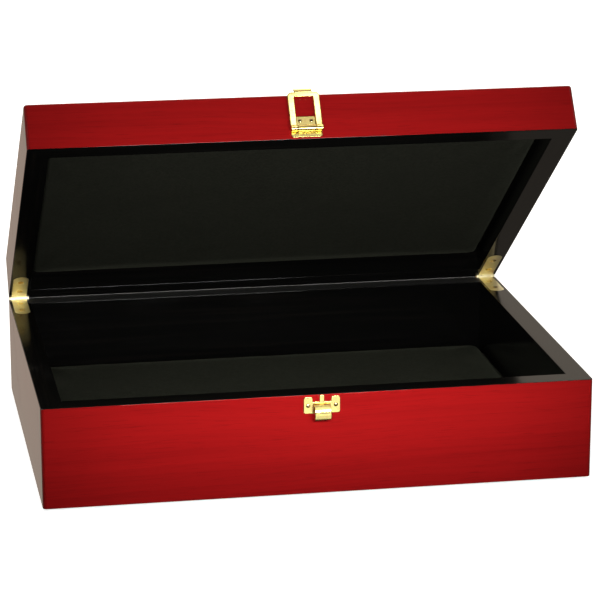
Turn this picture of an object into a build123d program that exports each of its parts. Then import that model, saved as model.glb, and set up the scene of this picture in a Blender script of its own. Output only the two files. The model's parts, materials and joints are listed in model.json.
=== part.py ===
from build123d import *
import os

# A hinged presentation box: a lacquered base and lid of mitred boards, padded velour linings,
# two side-rail hinges and a swing hasp. Millimetres. The origin is the centre of the underside,
# +X is to the right, +Y to the rear and +Z up. The lid is drawn standing open by REST_OPENING,
# with the hasp folded up against the front of the lid.

# ---- Case
WIDTH = 280.0
DEPTH = 204.0
BASE_HEIGHT = 53.0  # underside of the felt to the base rim
LID_HEIGHT = 24.5  # lid rim to the top of the lid
WALL = 11.5
RIM_GAP = 0.2  # between the two rims when the lid is shut
REST_OPENING = 36.4  # degrees
CORNER_RADIUS = 2.0  # upright corners
TOP_ARRIS = 1.2  # round the top of the lid
RIM_ARRIS = 0.5  # both edges of both rims
FELT_THICKNESS = 1.0
FELT_INSET = 3.0
BOTTOM_BOARD = 8.0
BOTTOM_LAP = 5.0  # how far the bottom board reaches into the walls' rabbet
TOP_BOARD = 6.0

# ---- Lining: foam on card, wrapped in velour
CARD = 2.0
VELOUR = 0.8
LINING_GAP = 0.8  # all round, to the walls
FLOOR_LINING = 9.0
LID_LINING = 10.5
FOAM_ROUND = 3.0

# ---- Hinges
HINGE_X = 134.3  # middle of each hinge, from the middle of the box
AXIS_STANDOFF = 0.15  # hinge axis behind the back of the box
LEAF_LENGTH = 32.0  # from the hinge axis to the rounded tip
LEAF_WIDTH = 8.4
LEAF_THICKNESS = 1.6
BARREL_RADIUS = 2.2
BARREL_LENGTH = 10.6
LID_KNUCKLE = 3.8  # length of the lid leaf's one knuckle, between the base leaf's two
KNUCKLE_GAP = 0.1
HINGE_PIN_RADIUS = 0.9
RUNNING_CLEARANCE = 0.05
LEAF_NOTCH = 0.15  # room round the other leaf's knuckles
WOOD_NOTCH = 0.3  # room in the wood round the barrel
SCREW_SPACING = (10.5, 23.5)  # from the hinge axis
SCREW_HEAD_RADIUS = 1.7
SCREW_RADIUS = 0.9
SCREW_LENGTH = 10.0
SCREW_POINT = 2.0
RECESS_WIDTH = 0.5
RECESS_LENGTH = 2.0
RECESS_DEPTH = 0.5

# ---- Hasp, on the front of the lid. Heights are above the parting line.
HASP_SHEET = 0.8
HASP_PLATE_WIDTH = 15.6
HASP_PLATE_LOW = 0.8
HASP_PLATE_HIGH = 12.0
HASP_PLATE_CORNER = 1.0
PIVOT_HEIGHT = 5.0
PIVOT_STANDOFF = 2.6  # pivot axis in front of the lid
PIVOT_BARREL = 1.6
PIVOT_PIN = 0.6
PLATE_KNUCKLE = 9.2
LOOP_WIDTH = 16.4
LOOP_WINDOW = 9.6
LOOP_LOW = 1.1  # back face of the folded-up loop, in front of the lid
LOOP_SHEET = 1.2
LOOP_BAR_LOW = 22.5
LOOP_BAR_HIGH = 25.0
LOOP_CORNER = 2.4
LIP_WIDTH = 9.0
LIP_ARC = 75.0  # degrees that the finger lip curls through
LIP_RADIUS = 2.0  # to the middle of the sheet
HASP_NAILS = ((-2.9, 9.8), (2.9, 9.8))

# ---- Catch, on the front of the base. Heights are from the base rim, so they are negative.
CATCH_HALF_WIDTH = 9.25
CATCH_TOP = -1.0
CATCH_BOTTOM = -9.6
CATCH_TIP_HALF = 1.2
CATCH_TIP_TOP = -0.2
CATCH_NOTCH_HALF = 4.7
CATCH_NOTCH_BOTTOM = -3.6
CATCH_CORNER = 1.0
HOOK_WIDTH = 8.4
HOOK_CENTRE = (0.2, -9.2)  # standoff and height of the middle of the curl
HOOK_RADIUS = 4.9
HOOK_SHEET = 0.9
HOOK_START = 85.0  # degrees round the curl, from straight out of the box
HOOK_END = -35.0
CATCH_NAILS = ((-7.0, -5.4), (7.0, -5.4))

# ---- Brass nails
NAIL_HEAD_RADIUS = 1.1
NAIL_HEAD_HEIGHT = 0.5
NAIL_HEAD_ROUND = 0.4
NAIL_RADIUS = 0.5
NAIL_LENGTH = 7.0

# ---- Frames of reference
AXIS_Y = DEPTH / 2 + AXIS_STANDOFF
AXIS_Z = BASE_HEIGHT + RIM_GAP / 2
LID_AXIS = Plane(origin=(0, AXIS_Y, AXIS_Z)).rotated((-REST_OPENING, 0, 0))
BARREL_SECTION = Plane(origin=(0, AXIS_Y, AXIS_Z), x_dir=(0, 1, 0), z_dir=(1, 0, 0))
BASE_RIM = Plane.XY.offset(BASE_HEIGHT)
LID_RIM = Plane(LID_AXIS * Location((0, -AXIS_Y, RIM_GAP / 2)))
LID_RIM_FACE = Plane(origin=LID_RIM.origin, x_dir=LID_RIM.x_dir, z_dir=-LID_RIM.z_dir)
BASE_FRONT = Plane(BASE_RIM * Location((0, -DEPTH / 2, 0), (90, 0, 0)))
LID_FRONT = Plane(LID_RIM * Location((0, -DEPTH / 2, -RIM_GAP / 2), (90, 0, 0)))

HINGES = {"left": -HINGE_X, "right": HINGE_X}
BASE_KNUCKLES = (
    (-BARREL_LENGTH / 2, -LID_KNUCKLE / 2 - KNUCKLE_GAP),
    (LID_KNUCKLE / 2 + KNUCKLE_GAP, BARREL_LENGTH / 2),
)
LID_KNUCKLES = ((-LID_KNUCKLE / 2, LID_KNUCKLE / 2),)
PIN_SPAN = ((-BARREL_LENGTH / 2, BARREL_LENGTH / 2),)
WOOD_SPAN = ((-BARREL_LENGTH / 2 - WOOD_NOTCH, BARREL_LENGTH / 2 + WOOD_NOTCH),)

os.makedirs("parts", exist_ok=True)


def side_section(front):
    """The plane across a front face, drawn as (standoff, height)."""
    return Plane(origin=front.origin, x_dir=front.z_dir, z_dir=-front.x_dir)


def barrel(hinge_x, spans, radius):
    """A cylinder on the hinge axis for each span of x, measured from the middle of a hinge."""
    with BuildPart() as cylinders:
        for low, high in spans:
            with BuildSketch(BARREL_SECTION.offset(hinge_x + low)):
                Circle(radius)
            extrude(amount=high - low)
    return cylinders.part


def leaf_outline(rim, hinge_x):
    """A leaf as seen from above: straight sides from the axis to a round tip."""
    with BuildSketch(rim) as outline:
        tip_y = AXIS_Y - LEAF_LENGTH + LEAF_WIDTH / 2
        with Locations((hinge_x, (AXIS_Y + tip_y) / 2)):
            Rectangle(LEAF_WIDTH, AXIS_Y - tip_y)
        with Locations((hinge_x, tip_y)):
            Circle(LEAF_WIDTH / 2)
    return outline.sketch


def screw_blanks(face, hinge_x, side):
    """Two countersunk screws, without recesses, whose heads lie flush in a rim."""
    head_depth = SCREW_HEAD_RADIUS - SCREW_RADIUS
    shank = SCREW_LENGTH - head_depth - SCREW_POINT
    with BuildPart(face) as blanks:
        for distance in SCREW_SPACING:
            y = side * (AXIS_Y - distance)
            with Locations((hinge_x, y, -head_depth / 2)):
                Cone(SCREW_RADIUS, SCREW_HEAD_RADIUS, head_depth)
            with Locations((hinge_x, y, -head_depth - shank / 2)):
                Cylinder(SCREW_RADIUS, shank)
            with Locations((hinge_x, y, -SCREW_LENGTH + SCREW_POINT / 2)):
                Cone(0.0, SCREW_RADIUS, SCREW_POINT)
    return blanks.part


def nail_blanks(front, sheet, centres):
    """Dome-headed nails through a sheet that lies on a front face."""
    with BuildPart(front.offset(sheet)) as blanks:
        with Locations(*[(x, height, 0) for x, height in centres]):
            Cylinder(
                NAIL_HEAD_RADIUS, NAIL_HEAD_HEIGHT, align=(Align.CENTER, Align.CENTER, Align.MIN)
            )
        crowns = blanks.faces().group_by(Axis(front.origin, front.z_dir))[-1]
        fillet(crowns.edges(), NAIL_HEAD_ROUND)
        with Locations(*[(x, height, 0) for x, height in centres]):
            Cylinder(NAIL_RADIUS, NAIL_LENGTH, align=(Align.CENTER, Align.CENTER, Align.MAX))
    return blanks.part


def wall_ring(rim, height, up):
    """Four walls in one ring that hangs from a rim, its arrises eased along the rim."""
    with BuildPart() as ring:
        with BuildSketch(rim):
            RectangleRounded(WIDTH, DEPTH, CORNER_RADIUS)
            Rectangle(WIDTH - 2 * WALL, DEPTH - 2 * WALL, mode=Mode.SUBTRACT)
        extrude(amount=-up * height)
        rim_face = ring.faces().sort_by(Axis(rim.origin, rim.z_dir * up))[-1]
        fillet(rim_face.edges(), RIM_ARRIS)
    return ring.part


def mitre_outlines():
    """The ground that each wall covers, cut at 45 degrees through the corners."""
    out = 5.0
    inside = WALL + 5.0
    x_out, x_in = WIDTH / 2 + out, WIDTH / 2 - inside
    y_out, y_in = DEPTH / 2 + out, DEPTH / 2 - inside
    front = [(-x_out, -y_out), (x_out, -y_out), (x_in, -y_in), (-x_in, -y_in)]
    left = [(-x_out, y_out), (-x_out, -y_out), (-x_in, -y_in), (-x_in, y_in)]
    return {
        "front": front,
        "rear": [(x, -y) for x, y in front],
        "left": left,
        "right": [(-x, y) for x, y in left],
    }


def lining(face, thickness):
    """Card, foam and velour of one lining that lies on a board, from the board's face outwards."""
    length = WIDTH - 2 * (WALL + LINING_GAP)
    width = DEPTH - 2 * (WALL + LINING_GAP)
    outwards = Axis(face.origin, face.z_dir)

    with BuildPart() as card:
        with BuildSketch(face):
            Rectangle(length - 2 * VELOUR, width - 2 * VELOUR)
        extrude(amount=CARD)

    with BuildPart() as foam:
        with BuildSketch(face.offset(CARD)):
            Rectangle(length - 2 * VELOUR, width - 2 * VELOUR)
        extrude(amount=thickness - CARD - VELOUR)
        fillet(foam.faces().sort_by(outwards)[-1].edges(), FOAM_ROUND)

    with BuildPart() as velour:
        with BuildSketch(face):
            RectangleRounded(length, width, VELOUR)
        extrude(amount=thickness)
        fillet(velour.faces().sort_by(outwards)[-1].edges(), FOAM_ROUND + VELOUR)
        add(card.part, mode=Mode.SUBTRACT)
        add(foam.part, mode=Mode.SUBTRACT)

    return {"card": card.part, "foam": foam.part, "velour": velour.part}


def save(part, name):
    """Label a finished piece and write it under its own name."""
    part.label = name
    export_step(part, f"parts/{name}.step")


# ---- Fasteners first, because the wood and the brass are bored to suit them
screws = {}
for hand, hinge_x in HINGES.items():
    screws[hand, "base"] = screw_blanks(BASE_RIM, hinge_x, 1)
    screws[hand, "lid"] = screw_blanks(LID_RIM_FACE, hinge_x, -1)
catch_nails = nail_blanks(BASE_FRONT, HASP_SHEET, CATCH_NAILS)
hasp_nails = nail_blanks(LID_FRONT, HASP_SHEET, HASP_NAILS)
save(catch_nails, "catch_nails")
save(hasp_nails, "hasp_nails")

for (hand, half), blanks in screws.items():
    face, side = (BASE_RIM, 1) if half == "base" else (LID_RIM_FACE, -1)
    with BuildPart() as hinge_screws:
        add(blanks)
        with BuildSketch(face):
            with Locations(*[(HINGES[hand], side * (AXIS_Y - reach)) for reach in SCREW_SPACING]):
                Rectangle(RECESS_LENGTH, RECESS_WIDTH)
                Rectangle(RECESS_WIDTH, RECESS_LENGTH)
        extrude(amount=-RECESS_DEPTH, mode=Mode.SUBTRACT)
    save(hinge_screws.part, f"hinge_{hand}_{half}_screws")

# ---- Base walls: a ring with a rabbet for the bottom board, cut apart at the mitres
base_ring = wall_ring(BASE_RIM, BASE_HEIGHT - FELT_THICKNESS, 1)
board_length = WIDTH - 2 * (WALL - BOTTOM_LAP)
board_width = DEPTH - 2 * (WALL - BOTTOM_LAP)
for side, outline in mitre_outlines().items():
    with BuildPart() as base_wall:
        add(base_ring)
        with BuildSketch(Plane.XY.offset(FELT_THICKNESS)):
            Rectangle(board_length, board_width)
        extrude(amount=BOTTOM_BOARD, mode=Mode.SUBTRACT)
        for hand, hinge_x in HINGES.items():
            add(leaf_outline(BASE_RIM, hinge_x))
            extrude(amount=-LEAF_THICKNESS, mode=Mode.SUBTRACT)
            add(barrel(hinge_x, WOOD_SPAN, BARREL_RADIUS + WOOD_NOTCH), mode=Mode.SUBTRACT)
            add(screws[hand, "base"], mode=Mode.SUBTRACT)
        add(catch_nails, mode=Mode.SUBTRACT)
        with BuildSketch():
            Polygon(*outline, align=None)
        extrude(amount=BASE_HEIGHT, mode=Mode.INTERSECT)
    save(base_wall.part, f"base_{side}_wall")

with BuildPart() as base_bottom_board:
    with BuildSketch(Plane.XY.offset(FELT_THICKNESS)):
        Rectangle(board_length, board_width)
    extrude(amount=BOTTOM_BOARD)
save(base_bottom_board.part, "base_bottom_board")

with BuildPart() as base_felt:
    with BuildSketch():
        RectangleRounded(WIDTH - 2 * FELT_INSET, DEPTH - 2 * FELT_INSET, CORNER_RADIUS)
    extrude(amount=FELT_THICKNESS)
save(base_felt.part, "base_felt")

for layer, piece in lining(Plane.XY.offset(FELT_THICKNESS + BOTTOM_BOARD), FLOOR_LINING).items():
    save(piece, f"floor_{layer}")

# ---- Lid walls and top board
lid_wall_height = LID_HEIGHT - TOP_BOARD
lid_ring = wall_ring(LID_RIM, lid_wall_height, -1)
for side, outline in mitre_outlines().items():
    with BuildPart() as lid_wall:
        add(lid_ring)
        for hand, hinge_x in HINGES.items():
            add(leaf_outline(LID_RIM, hinge_x))
            extrude(amount=LEAF_THICKNESS, mode=Mode.SUBTRACT)
            add(barrel(hinge_x, WOOD_SPAN, BARREL_RADIUS + WOOD_NOTCH), mode=Mode.SUBTRACT)
            add(screws[hand, "lid"], mode=Mode.SUBTRACT)
        add(hasp_nails, mode=Mode.SUBTRACT)
        with BuildSketch(LID_RIM):
            Polygon(*outline, align=None)
        extrude(amount=LID_HEIGHT, mode=Mode.INTERSECT)
    save(lid_wall.part, f"lid_{side}_wall")

with BuildPart() as lid_top_board:
    with BuildSketch(LID_RIM.offset(lid_wall_height)):
        RectangleRounded(WIDTH, DEPTH, CORNER_RADIUS)
    extrude(amount=TOP_BOARD)
    top_face = lid_top_board.faces().sort_by(Axis(LID_RIM.origin, LID_RIM.z_dir))[-1]
    fillet(top_face.edges(), TOP_ARRIS)
save(lid_top_board.part, "lid_top_board")

lid_ceiling = LID_RIM.offset(lid_wall_height)
lid_lining_face = Plane(
    origin=lid_ceiling.origin, x_dir=lid_ceiling.x_dir, z_dir=-lid_ceiling.z_dir
)
for layer, piece in lining(lid_lining_face, LID_LINING).items():
    save(piece, f"lid_{layer}")

# ---- Hinges: the base leaf has the two outer knuckles and holds the pin, the lid leaf turns on it
halves = {
    "base": (BASE_RIM, -LEAF_THICKNESS, BASE_KNUCKLES, LID_KNUCKLES, 0.0),
    "lid": (LID_RIM, LEAF_THICKNESS, LID_KNUCKLES, BASE_KNUCKLES, RUNNING_CLEARANCE),
}
for hand, hinge_x in HINGES.items():
    for half, (rim, thickness, own_knuckles, other_knuckles, clearance) in halves.items():
        room = [(low - KNUCKLE_GAP, high + KNUCKLE_GAP) for low, high in other_knuckles]
        with BuildPart() as hinge_leaf:
            add(leaf_outline(rim, hinge_x))
            extrude(amount=thickness)
            add(barrel(hinge_x, room, BARREL_RADIUS + LEAF_NOTCH), mode=Mode.SUBTRACT)
            add(barrel(hinge_x, own_knuckles, BARREL_RADIUS))
            add(barrel(hinge_x, PIN_SPAN, HINGE_PIN_RADIUS + clearance), mode=Mode.SUBTRACT)
            add(screws[hand, half], mode=Mode.SUBTRACT)
        save(hinge_leaf.part, f"hinge_{hand}_{half}_leaf")

    with BuildPart() as hinge_pin:
        add(barrel(hinge_x, PIN_SPAN, HINGE_PIN_RADIUS))
    save(hinge_pin.part, f"hinge_{hand}_pin")

# ---- Hasp plate: a sheet nailed to the lid, with a tongue rolled round the middle of the pin
hasp_section = side_section(LID_FRONT)
pivot = (PIVOT_STANDOFF, PIVOT_HEIGHT)
with BuildPart() as hasp_plate:
    with BuildSketch(LID_FRONT):
        with Locations((0, (HASP_PLATE_LOW + HASP_PLATE_HIGH) / 2)):
            RectangleRounded(
                HASP_PLATE_WIDTH, HASP_PLATE_HIGH - HASP_PLATE_LOW, HASP_PLATE_CORNER
            )
    extrude(amount=HASP_SHEET)
    with BuildSketch(hasp_section):
        with Locations(pivot):
            Circle(PIVOT_BARREL)
        with Locations((PIVOT_STANDOFF / 2, PIVOT_HEIGHT - PIVOT_BARREL + HASP_SHEET / 2)):
            Rectangle(PIVOT_STANDOFF, HASP_SHEET)
    extrude(amount=PLATE_KNUCKLE / 2, both=True)
    with BuildSketch(hasp_section):
        with Locations(pivot):
            Circle(PIVOT_PIN)
    extrude(amount=PLATE_KNUCKLE, both=True, mode=Mode.SUBTRACT)
    add(hasp_nails, mode=Mode.SUBTRACT)
save(hasp_plate.part, "hasp_plate")

with BuildPart() as hasp_pin:
    with BuildSketch(hasp_section):
        with Locations(pivot):
            Circle(PIVOT_PIN)
    extrude(amount=LOOP_WIDTH / 2, both=True)
save(hasp_pin.part, "hasp_pin")

# ---- Hasp loop: a stamped frame, open at the pivot, with a curled finger lip at its far end
with BuildPart() as hasp_loop:
    with BuildSketch(LID_FRONT.offset(LOOP_LOW)) as loop_outline:
        with Locations((0, (PIVOT_HEIGHT + LOOP_BAR_HIGH) / 2)):
            Rectangle(LOOP_WIDTH, LOOP_BAR_HIGH - PIVOT_HEIGHT)
        far_corners = loop_outline.vertices().group_by(Axis.Y)[-1]
        fillet(far_corners, LOOP_CORNER)
        with Locations((0, (PIVOT_HEIGHT + LOOP_BAR_LOW) / 2)):
            Rectangle(LOOP_WINDOW, LOOP_BAR_LOW - PIVOT_HEIGHT, mode=Mode.SUBTRACT)
    extrude(amount=LOOP_SHEET)
    lip_centre = (LOOP_LOW + LOOP_SHEET / 2 - LIP_RADIUS, LOOP_BAR_HIGH)
    with BuildSketch(hasp_section):
        with BuildLine():
            outer = CenterArc(lip_centre, LIP_RADIUS + LOOP_SHEET / 2, 0, LIP_ARC)
            inner = CenterArc(lip_centre, LIP_RADIUS - LOOP_SHEET / 2, 0, LIP_ARC)
            Line(outer @ 1, inner @ 1)
            Line(outer @ 0, inner @ 0)
        make_face()
    extrude(amount=LIP_WIDTH / 2, both=True)
    loop_ends = [(LOOP_WINDOW / 2, LOOP_WIDTH / 2), (-LOOP_WIDTH / 2, -LOOP_WINDOW / 2)]
    for low, high in loop_ends:
        with BuildSketch(hasp_section.offset(low)):
            with Locations(pivot):
                Circle(PIVOT_BARREL)
        extrude(amount=high - low)
    with BuildSketch(hasp_section):
        with Locations(pivot):
            Circle(PIVOT_PIN + RUNNING_CLEARANCE)
    extrude(amount=LOOP_WIDTH, both=True, mode=Mode.SUBTRACT)
save(hasp_loop.part, "hasp_loop")

# ---- Catch: an eared plate whose middle is pressed out into a hook that the loop drops over
catch_half = [
    (0, CATCH_TIP_TOP),
    (CATCH_TIP_HALF, CATCH_TIP_TOP),
    (CATCH_TIP_HALF, CATCH_NOTCH_BOTTOM),
    (CATCH_NOTCH_HALF, CATCH_NOTCH_BOTTOM),
    (CATCH_NOTCH_HALF, CATCH_TOP),
    (CATCH_HALF_WIDTH, CATCH_TOP),
    (CATCH_HALF_WIDTH, CATCH_BOTTOM),
    (0, CATCH_BOTTOM),
]
with BuildPart() as catch_plate:
    with BuildSketch(BASE_FRONT) as catch_outline:
        Polygon(*catch_half, align=None)
        mirror(about=Plane.YZ)
        rows = catch_outline.vertices().group_by(Axis.Y)
        fillet(rows[0] + rows[-2], CATCH_CORNER)
    extrude(amount=HASP_SHEET)
    with BuildSketch(side_section(BASE_FRONT)):
        with BuildLine():
            curl = HOOK_END - HOOK_START
            outer = CenterArc(HOOK_CENTRE, HOOK_RADIUS, HOOK_START, curl)
            inner = CenterArc(HOOK_CENTRE, HOOK_RADIUS - HOOK_SHEET, HOOK_START, curl)
            Line(outer @ 1, inner @ 1)
            Line(outer @ 0, inner @ 0)
        make_face()
    extrude(amount=HOOK_WIDTH / 2, both=True)
    add(catch_nails, mode=Mode.SUBTRACT)
save(catch_plate.part, "catch_plate")
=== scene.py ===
"""Looks of a hinged presentation box.

Rosewood-red lacquer over mitred boards, black velour linings, and polished brass hinges, hasp and
catch. Lengths are in metres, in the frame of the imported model. Pieces of the lid are drawn as if
the lid were shut, and are then turned open with it.
"""

import json
import logging
import math
from dataclasses import dataclass, field
from enum import Enum, IntEnum
from typing import Callable, Iterable, Sequence

import bmesh
import bpy
from mathutils import Matrix, Vector


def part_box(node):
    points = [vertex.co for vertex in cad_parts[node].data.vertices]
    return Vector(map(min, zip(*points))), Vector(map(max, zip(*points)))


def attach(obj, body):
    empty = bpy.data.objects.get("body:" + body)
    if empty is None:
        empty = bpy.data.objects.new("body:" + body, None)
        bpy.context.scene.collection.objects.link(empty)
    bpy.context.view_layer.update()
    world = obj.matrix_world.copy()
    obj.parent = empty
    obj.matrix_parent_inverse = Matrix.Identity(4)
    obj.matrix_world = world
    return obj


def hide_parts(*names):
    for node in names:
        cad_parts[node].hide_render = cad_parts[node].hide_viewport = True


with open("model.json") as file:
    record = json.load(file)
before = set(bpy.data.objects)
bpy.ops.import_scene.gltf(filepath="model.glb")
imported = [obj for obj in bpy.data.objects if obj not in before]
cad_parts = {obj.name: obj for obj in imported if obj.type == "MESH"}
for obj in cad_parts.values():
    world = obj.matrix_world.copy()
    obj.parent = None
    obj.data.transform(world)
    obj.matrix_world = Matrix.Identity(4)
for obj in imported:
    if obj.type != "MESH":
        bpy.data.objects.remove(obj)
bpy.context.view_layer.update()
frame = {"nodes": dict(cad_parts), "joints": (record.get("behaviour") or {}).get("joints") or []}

MM = 0.001
NEAR = 1e-6
log = logging.getLogger("presentation_box")

Socket = bpy.types.NodeSocket
Mesh = bpy.types.Mesh
Material = bpy.types.Material
Item = bpy.types.Object
Point = tuple[float, float]
Colour = tuple[float, float, float]
Loop = list[Vector]


class Hand(Enum):
    """The two ends of the box."""

    LEFT = "left"
    RIGHT = "right"


class Half(Enum):
    """The two halves of the box, by the names of their bodies."""

    BASE = "base"
    LID = "lid"


class Side(Enum):
    """The four walls of a half, each by the outward direction of its face."""

    FRONT = (0, -1)
    REAR = (0, 1)
    LEFT = (-1, 0)
    RIGHT = (1, 0)


class Coat(IntEnum):
    """What a face of a board is finished with, by its place among the board's materials."""

    RED = 0
    BLACK = 1
    BARE = 2
    # Grey rear rim: painted light from the gap under the lid.
    DULL_EDGE = 3


# ---- The frame: where the halves stand, and how large they are


@dataclass(frozen=True)
class LidTurn:
    """The turn of the lid between shut and standing open at rest."""

    point: Vector
    opening: float

    @classmethod
    def from_frame(cls) -> "LidTurn":
        """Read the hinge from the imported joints."""
        joint = next(j for j in frame["joints"] if j["name"] == "lid_hinge")
        return cls(Vector(joint["pos_m"]), -math.radians(joint["range_deg"][0]))

    def opened(self) -> Matrix:
        """The matrix that carries a point of the shut lid to where it stands at rest."""
        there = Matrix.Translation(self.point)
        return there @ Matrix.Rotation(-self.opening, 4, "X") @ there.inverted()


TURN = LidTurn.from_frame()
PLACED = {Half.BASE: Matrix.Identity(4), Half.LID: TURN.opened()}


def shut_box(node: str, half: Half) -> tuple[Vector, Vector]:
    """Give a CAD node's box with the lid shut.

    Args:
        node: name of the node.
        half: the half of the box that carries it.

    Returns:
        The lowest and the highest corner.
    """
    shut = PLACED[half].inverted()
    points = [shut @ vertex.co for vertex in frame["nodes"][node].data.vertices]
    low = Vector([min(point[k] for point in points) for k in range(3)])
    high = Vector([max(point[k] for point in points) for k in range(3)])
    return low, high


@dataclass(frozen=True)
class CaseSizes:
    """The box's own sizes, with the lid shut and its middle on the Z axis."""

    width: float
    depth: float
    wall: float
    base_foot: float
    base_board: float
    base_rim: float
    lid_rim: float
    lid_ceiling: float
    lid_top: float
    board_lap: float

    @classmethod
    def from_frame(cls) -> "CaseSizes":
        """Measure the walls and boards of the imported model."""
        left_low, left_high = shut_box("base_left_wall", Half.BASE)
        front_low, _ = shut_box("base_front_wall", Half.BASE)
        board_low, board_high = shut_box("base_bottom_board", Half.BASE)
        lid_low, lid_high = shut_box("lid_left_wall", Half.LID)
        _, top_high = shut_box("lid_top_board", Half.LID)
        return cls(
            width=-2 * left_low.x,
            depth=-2 * front_low.y,
            wall=left_high.x - left_low.x,
            base_foot=left_low.z,
            base_board=board_high.z,
            base_rim=left_high.z,
            lid_rim=lid_low.z,
            lid_ceiling=lid_high.z,
            lid_top=top_high.z,
            board_lap=board_low.x - left_low.x,
        )


CASE = CaseSizes.from_frame()


# ---- Nodes: short ways to write shader and geometry trees


class Graph:
    """Adds nodes to a tree and joins them."""

    def __init__(self, tree: bpy.types.NodeTree) -> None:
        """Work on one tree."""
        self.tree = tree

    def add(self, kind: str, sockets: dict | None = None, **settings: object) -> bpy.types.Node:
        """Add a node.

        Args:
            kind: the node's type name.
            sockets: input names or numbers, each with a value or with an output to link.
            **settings: the node's own properties.

        Returns:
            The new node.
        """
        node = self.tree.nodes.new(kind)
        for name, value in settings.items():
            setattr(node, name, value)
        for name, value in (sockets or {}).items():
            self.feed(node.inputs[name], value)
        return node

    def feed(self, socket: Socket, value: object) -> None:
        """Link an output to a socket, or set the socket's own value."""
        if isinstance(value, Socket):
            self.tree.links.new(value, socket)
        else:
            socket.default_value = value

    def math(self, operation: str, first: object, second: object = 0.0) -> Socket:
        """Add a Math node and give its output."""
        node = self.add("ShaderNodeMath", {0: first, 1: second}, operation=operation)
        return node.outputs[0]

    def times(self, first: object, second: object) -> Socket:
        """Multiply two numbers."""
        return self.math("MULTIPLY", first, second)

    def plus(self, first: object, second: object) -> Socket:
        """Add two numbers."""
        return self.math("ADD", first, second)

    def attribute(self, name: str) -> Socket:
        """Read one of the mesh's own vector attributes."""
        return self.add("ShaderNodeAttribute", attribute_name=name).outputs["Vector"]

    def place(self) -> Socket:
        """Give a point's place on the object."""
        return self.add("ShaderNodeTexCoord").outputs["Object"]

    def scaled(self, vector: object, scale: Sequence[float]) -> Socket:
        """Multiply a vector by a fixed scale for each axis."""
        node = self.add("ShaderNodeVectorMath", {0: vector, 1: scale}, operation="MULTIPLY")
        return node.outputs[0]

    def noise(self, vector: object, scale: object, detail: float = 2.0,
              roughness: float = 0.5, distortion: float = 0.0) -> Socket:
        """Add a Noise Texture and give its value."""
        sockets = {
            "Vector": vector,
            "Scale": scale,
            "Detail": detail,
            "Roughness": roughness,
            "Distortion": distortion,
        }
        return self.add("ShaderNodeTexNoise", sockets).outputs[0]

    def span(self, value: object, low: float, high: float, to_low: object = 0.0,
             to_high: object = 1.0) -> Socket:
        """Map a span of values smoothly onto another, clamped."""
        sockets = {"Value": value, 1: low, 2: high, 3: to_low, 4: to_high}
        node = self.add("ShaderNodeMapRange", sockets, interpolation_type="SMOOTHSTEP")
        return node.outputs[0]

    def blend(self, factor: object, first: object, second: object) -> Socket:
        """Mix two colours."""
        node = self.add("ShaderNodeMix", {0: factor, 6: first, 7: second}, data_type="RGBA")
        return node.outputs[2]


def rgba(colour: Colour) -> tuple[float, float, float, float]:
    """Give a colour with full alpha."""
    return (*colour, 1.0)


class GroupKind(Enum):
    """The two kinds of node group that the script builds."""

    SHADER = "ShaderNodeTree"
    GEOMETRY = "GeometryNodeTree"


SOCKETS = {
    "value": "NodeSocketFloat",
    "vector": "NodeSocketVector",
    "colour": "NodeSocketColor",
    "count": "NodeSocketInt",
    "turn": "NodeSocketRotation",
    "material": "NodeSocketMaterial",
    "geometry": "NodeSocketGeometry",
}


class NodeGroup(Graph):
    """A node group with named inputs and outputs."""

    def __init__(self, name: str, kind: GroupKind, inputs: dict[str, str],
                 outputs: dict[str, str]) -> None:
        """Make the group and its sockets.

        Args:
            name: the group's name.
            kind: shader or geometry.
            inputs: each input's name and its kind, a key of SOCKETS.
            outputs: the same for the outputs.
        """
        super().__init__(bpy.data.node_groups.new(name, kind.value))
        self.identifiers: dict[str, str] = {}
        for label, socket in inputs.items():
            made = self.tree.interface.new_socket(
                label, in_out="INPUT", socket_type=SOCKETS[socket])
            self.identifiers[label] = made.identifier
        for label, socket in outputs.items():
            self.tree.interface.new_socket(label, in_out="OUTPUT", socket_type=SOCKETS[socket])
        self.inputs = self.add("NodeGroupInput").outputs
        self.outputs = self.add("NodeGroupOutput").inputs

    def give(self, **values: object) -> None:
        """Feed the group's outputs, with _ for a space in their names."""
        for name, value in values.items():
            self.feed(self.outputs[name.replace("_", " ")], value)


# ---- Shader groups that several finishes share. Their numbers are shares, and scales per metre.


def rosewood_group() -> NodeGroup:
    """Build the figure of the wood: broad bands, fine streaks and short pores.

    Returns:
        A group on a vector whose X runs along the grain, in metres.
    """
    inputs = {"Vector": "vector", "Ground": "colour", "Figure": "colour", "Pore": "colour",
              "Contrast": "value"}
    group = NodeGroup("rosewood_figure", GroupKind.SHADER, inputs, {"Colour": "colour"})
    along = group.inputs["Vector"]
    drift = group.noise(group.scaled(along, (5.0, 14.0, 14.0)), 1.0, 1.0)
    wander = group.add("ShaderNodeCombineXYZ", {"Y": group.times(drift, 0.020)})
    bent = group.add("ShaderNodeVectorMath", {0: along, 1: wander.outputs[0]}).outputs[0]
    bands = group.noise(group.scaled(bent, (3.0, 95.0, 95.0)), 1.0, 3.0, 0.6)
    streaks = group.noise(group.scaled(bent, (9.0, 620.0, 620.0)), 1.0, 3.0, 0.62)
    pores = group.noise(group.scaled(bent, (70.0, 2600.0, 2600.0)), 1.0, 1.0)
    broad = group.span(bands, 0.38, 0.68)
    fine = group.span(streaks, 0.40, 0.72)
    figure = group.plus(group.times(broad, 0.55), group.times(fine, 0.45))
    shade = group.times(figure, group.inputs["Contrast"])
    colour = group.blend(shade, group.inputs["Ground"], group.inputs["Figure"])
    dots = group.times(group.span(pores, 0.62, 0.70), 0.35)
    group.give(Colour=group.blend(dots, colour, group.inputs["Pore"]))
    return group


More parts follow.
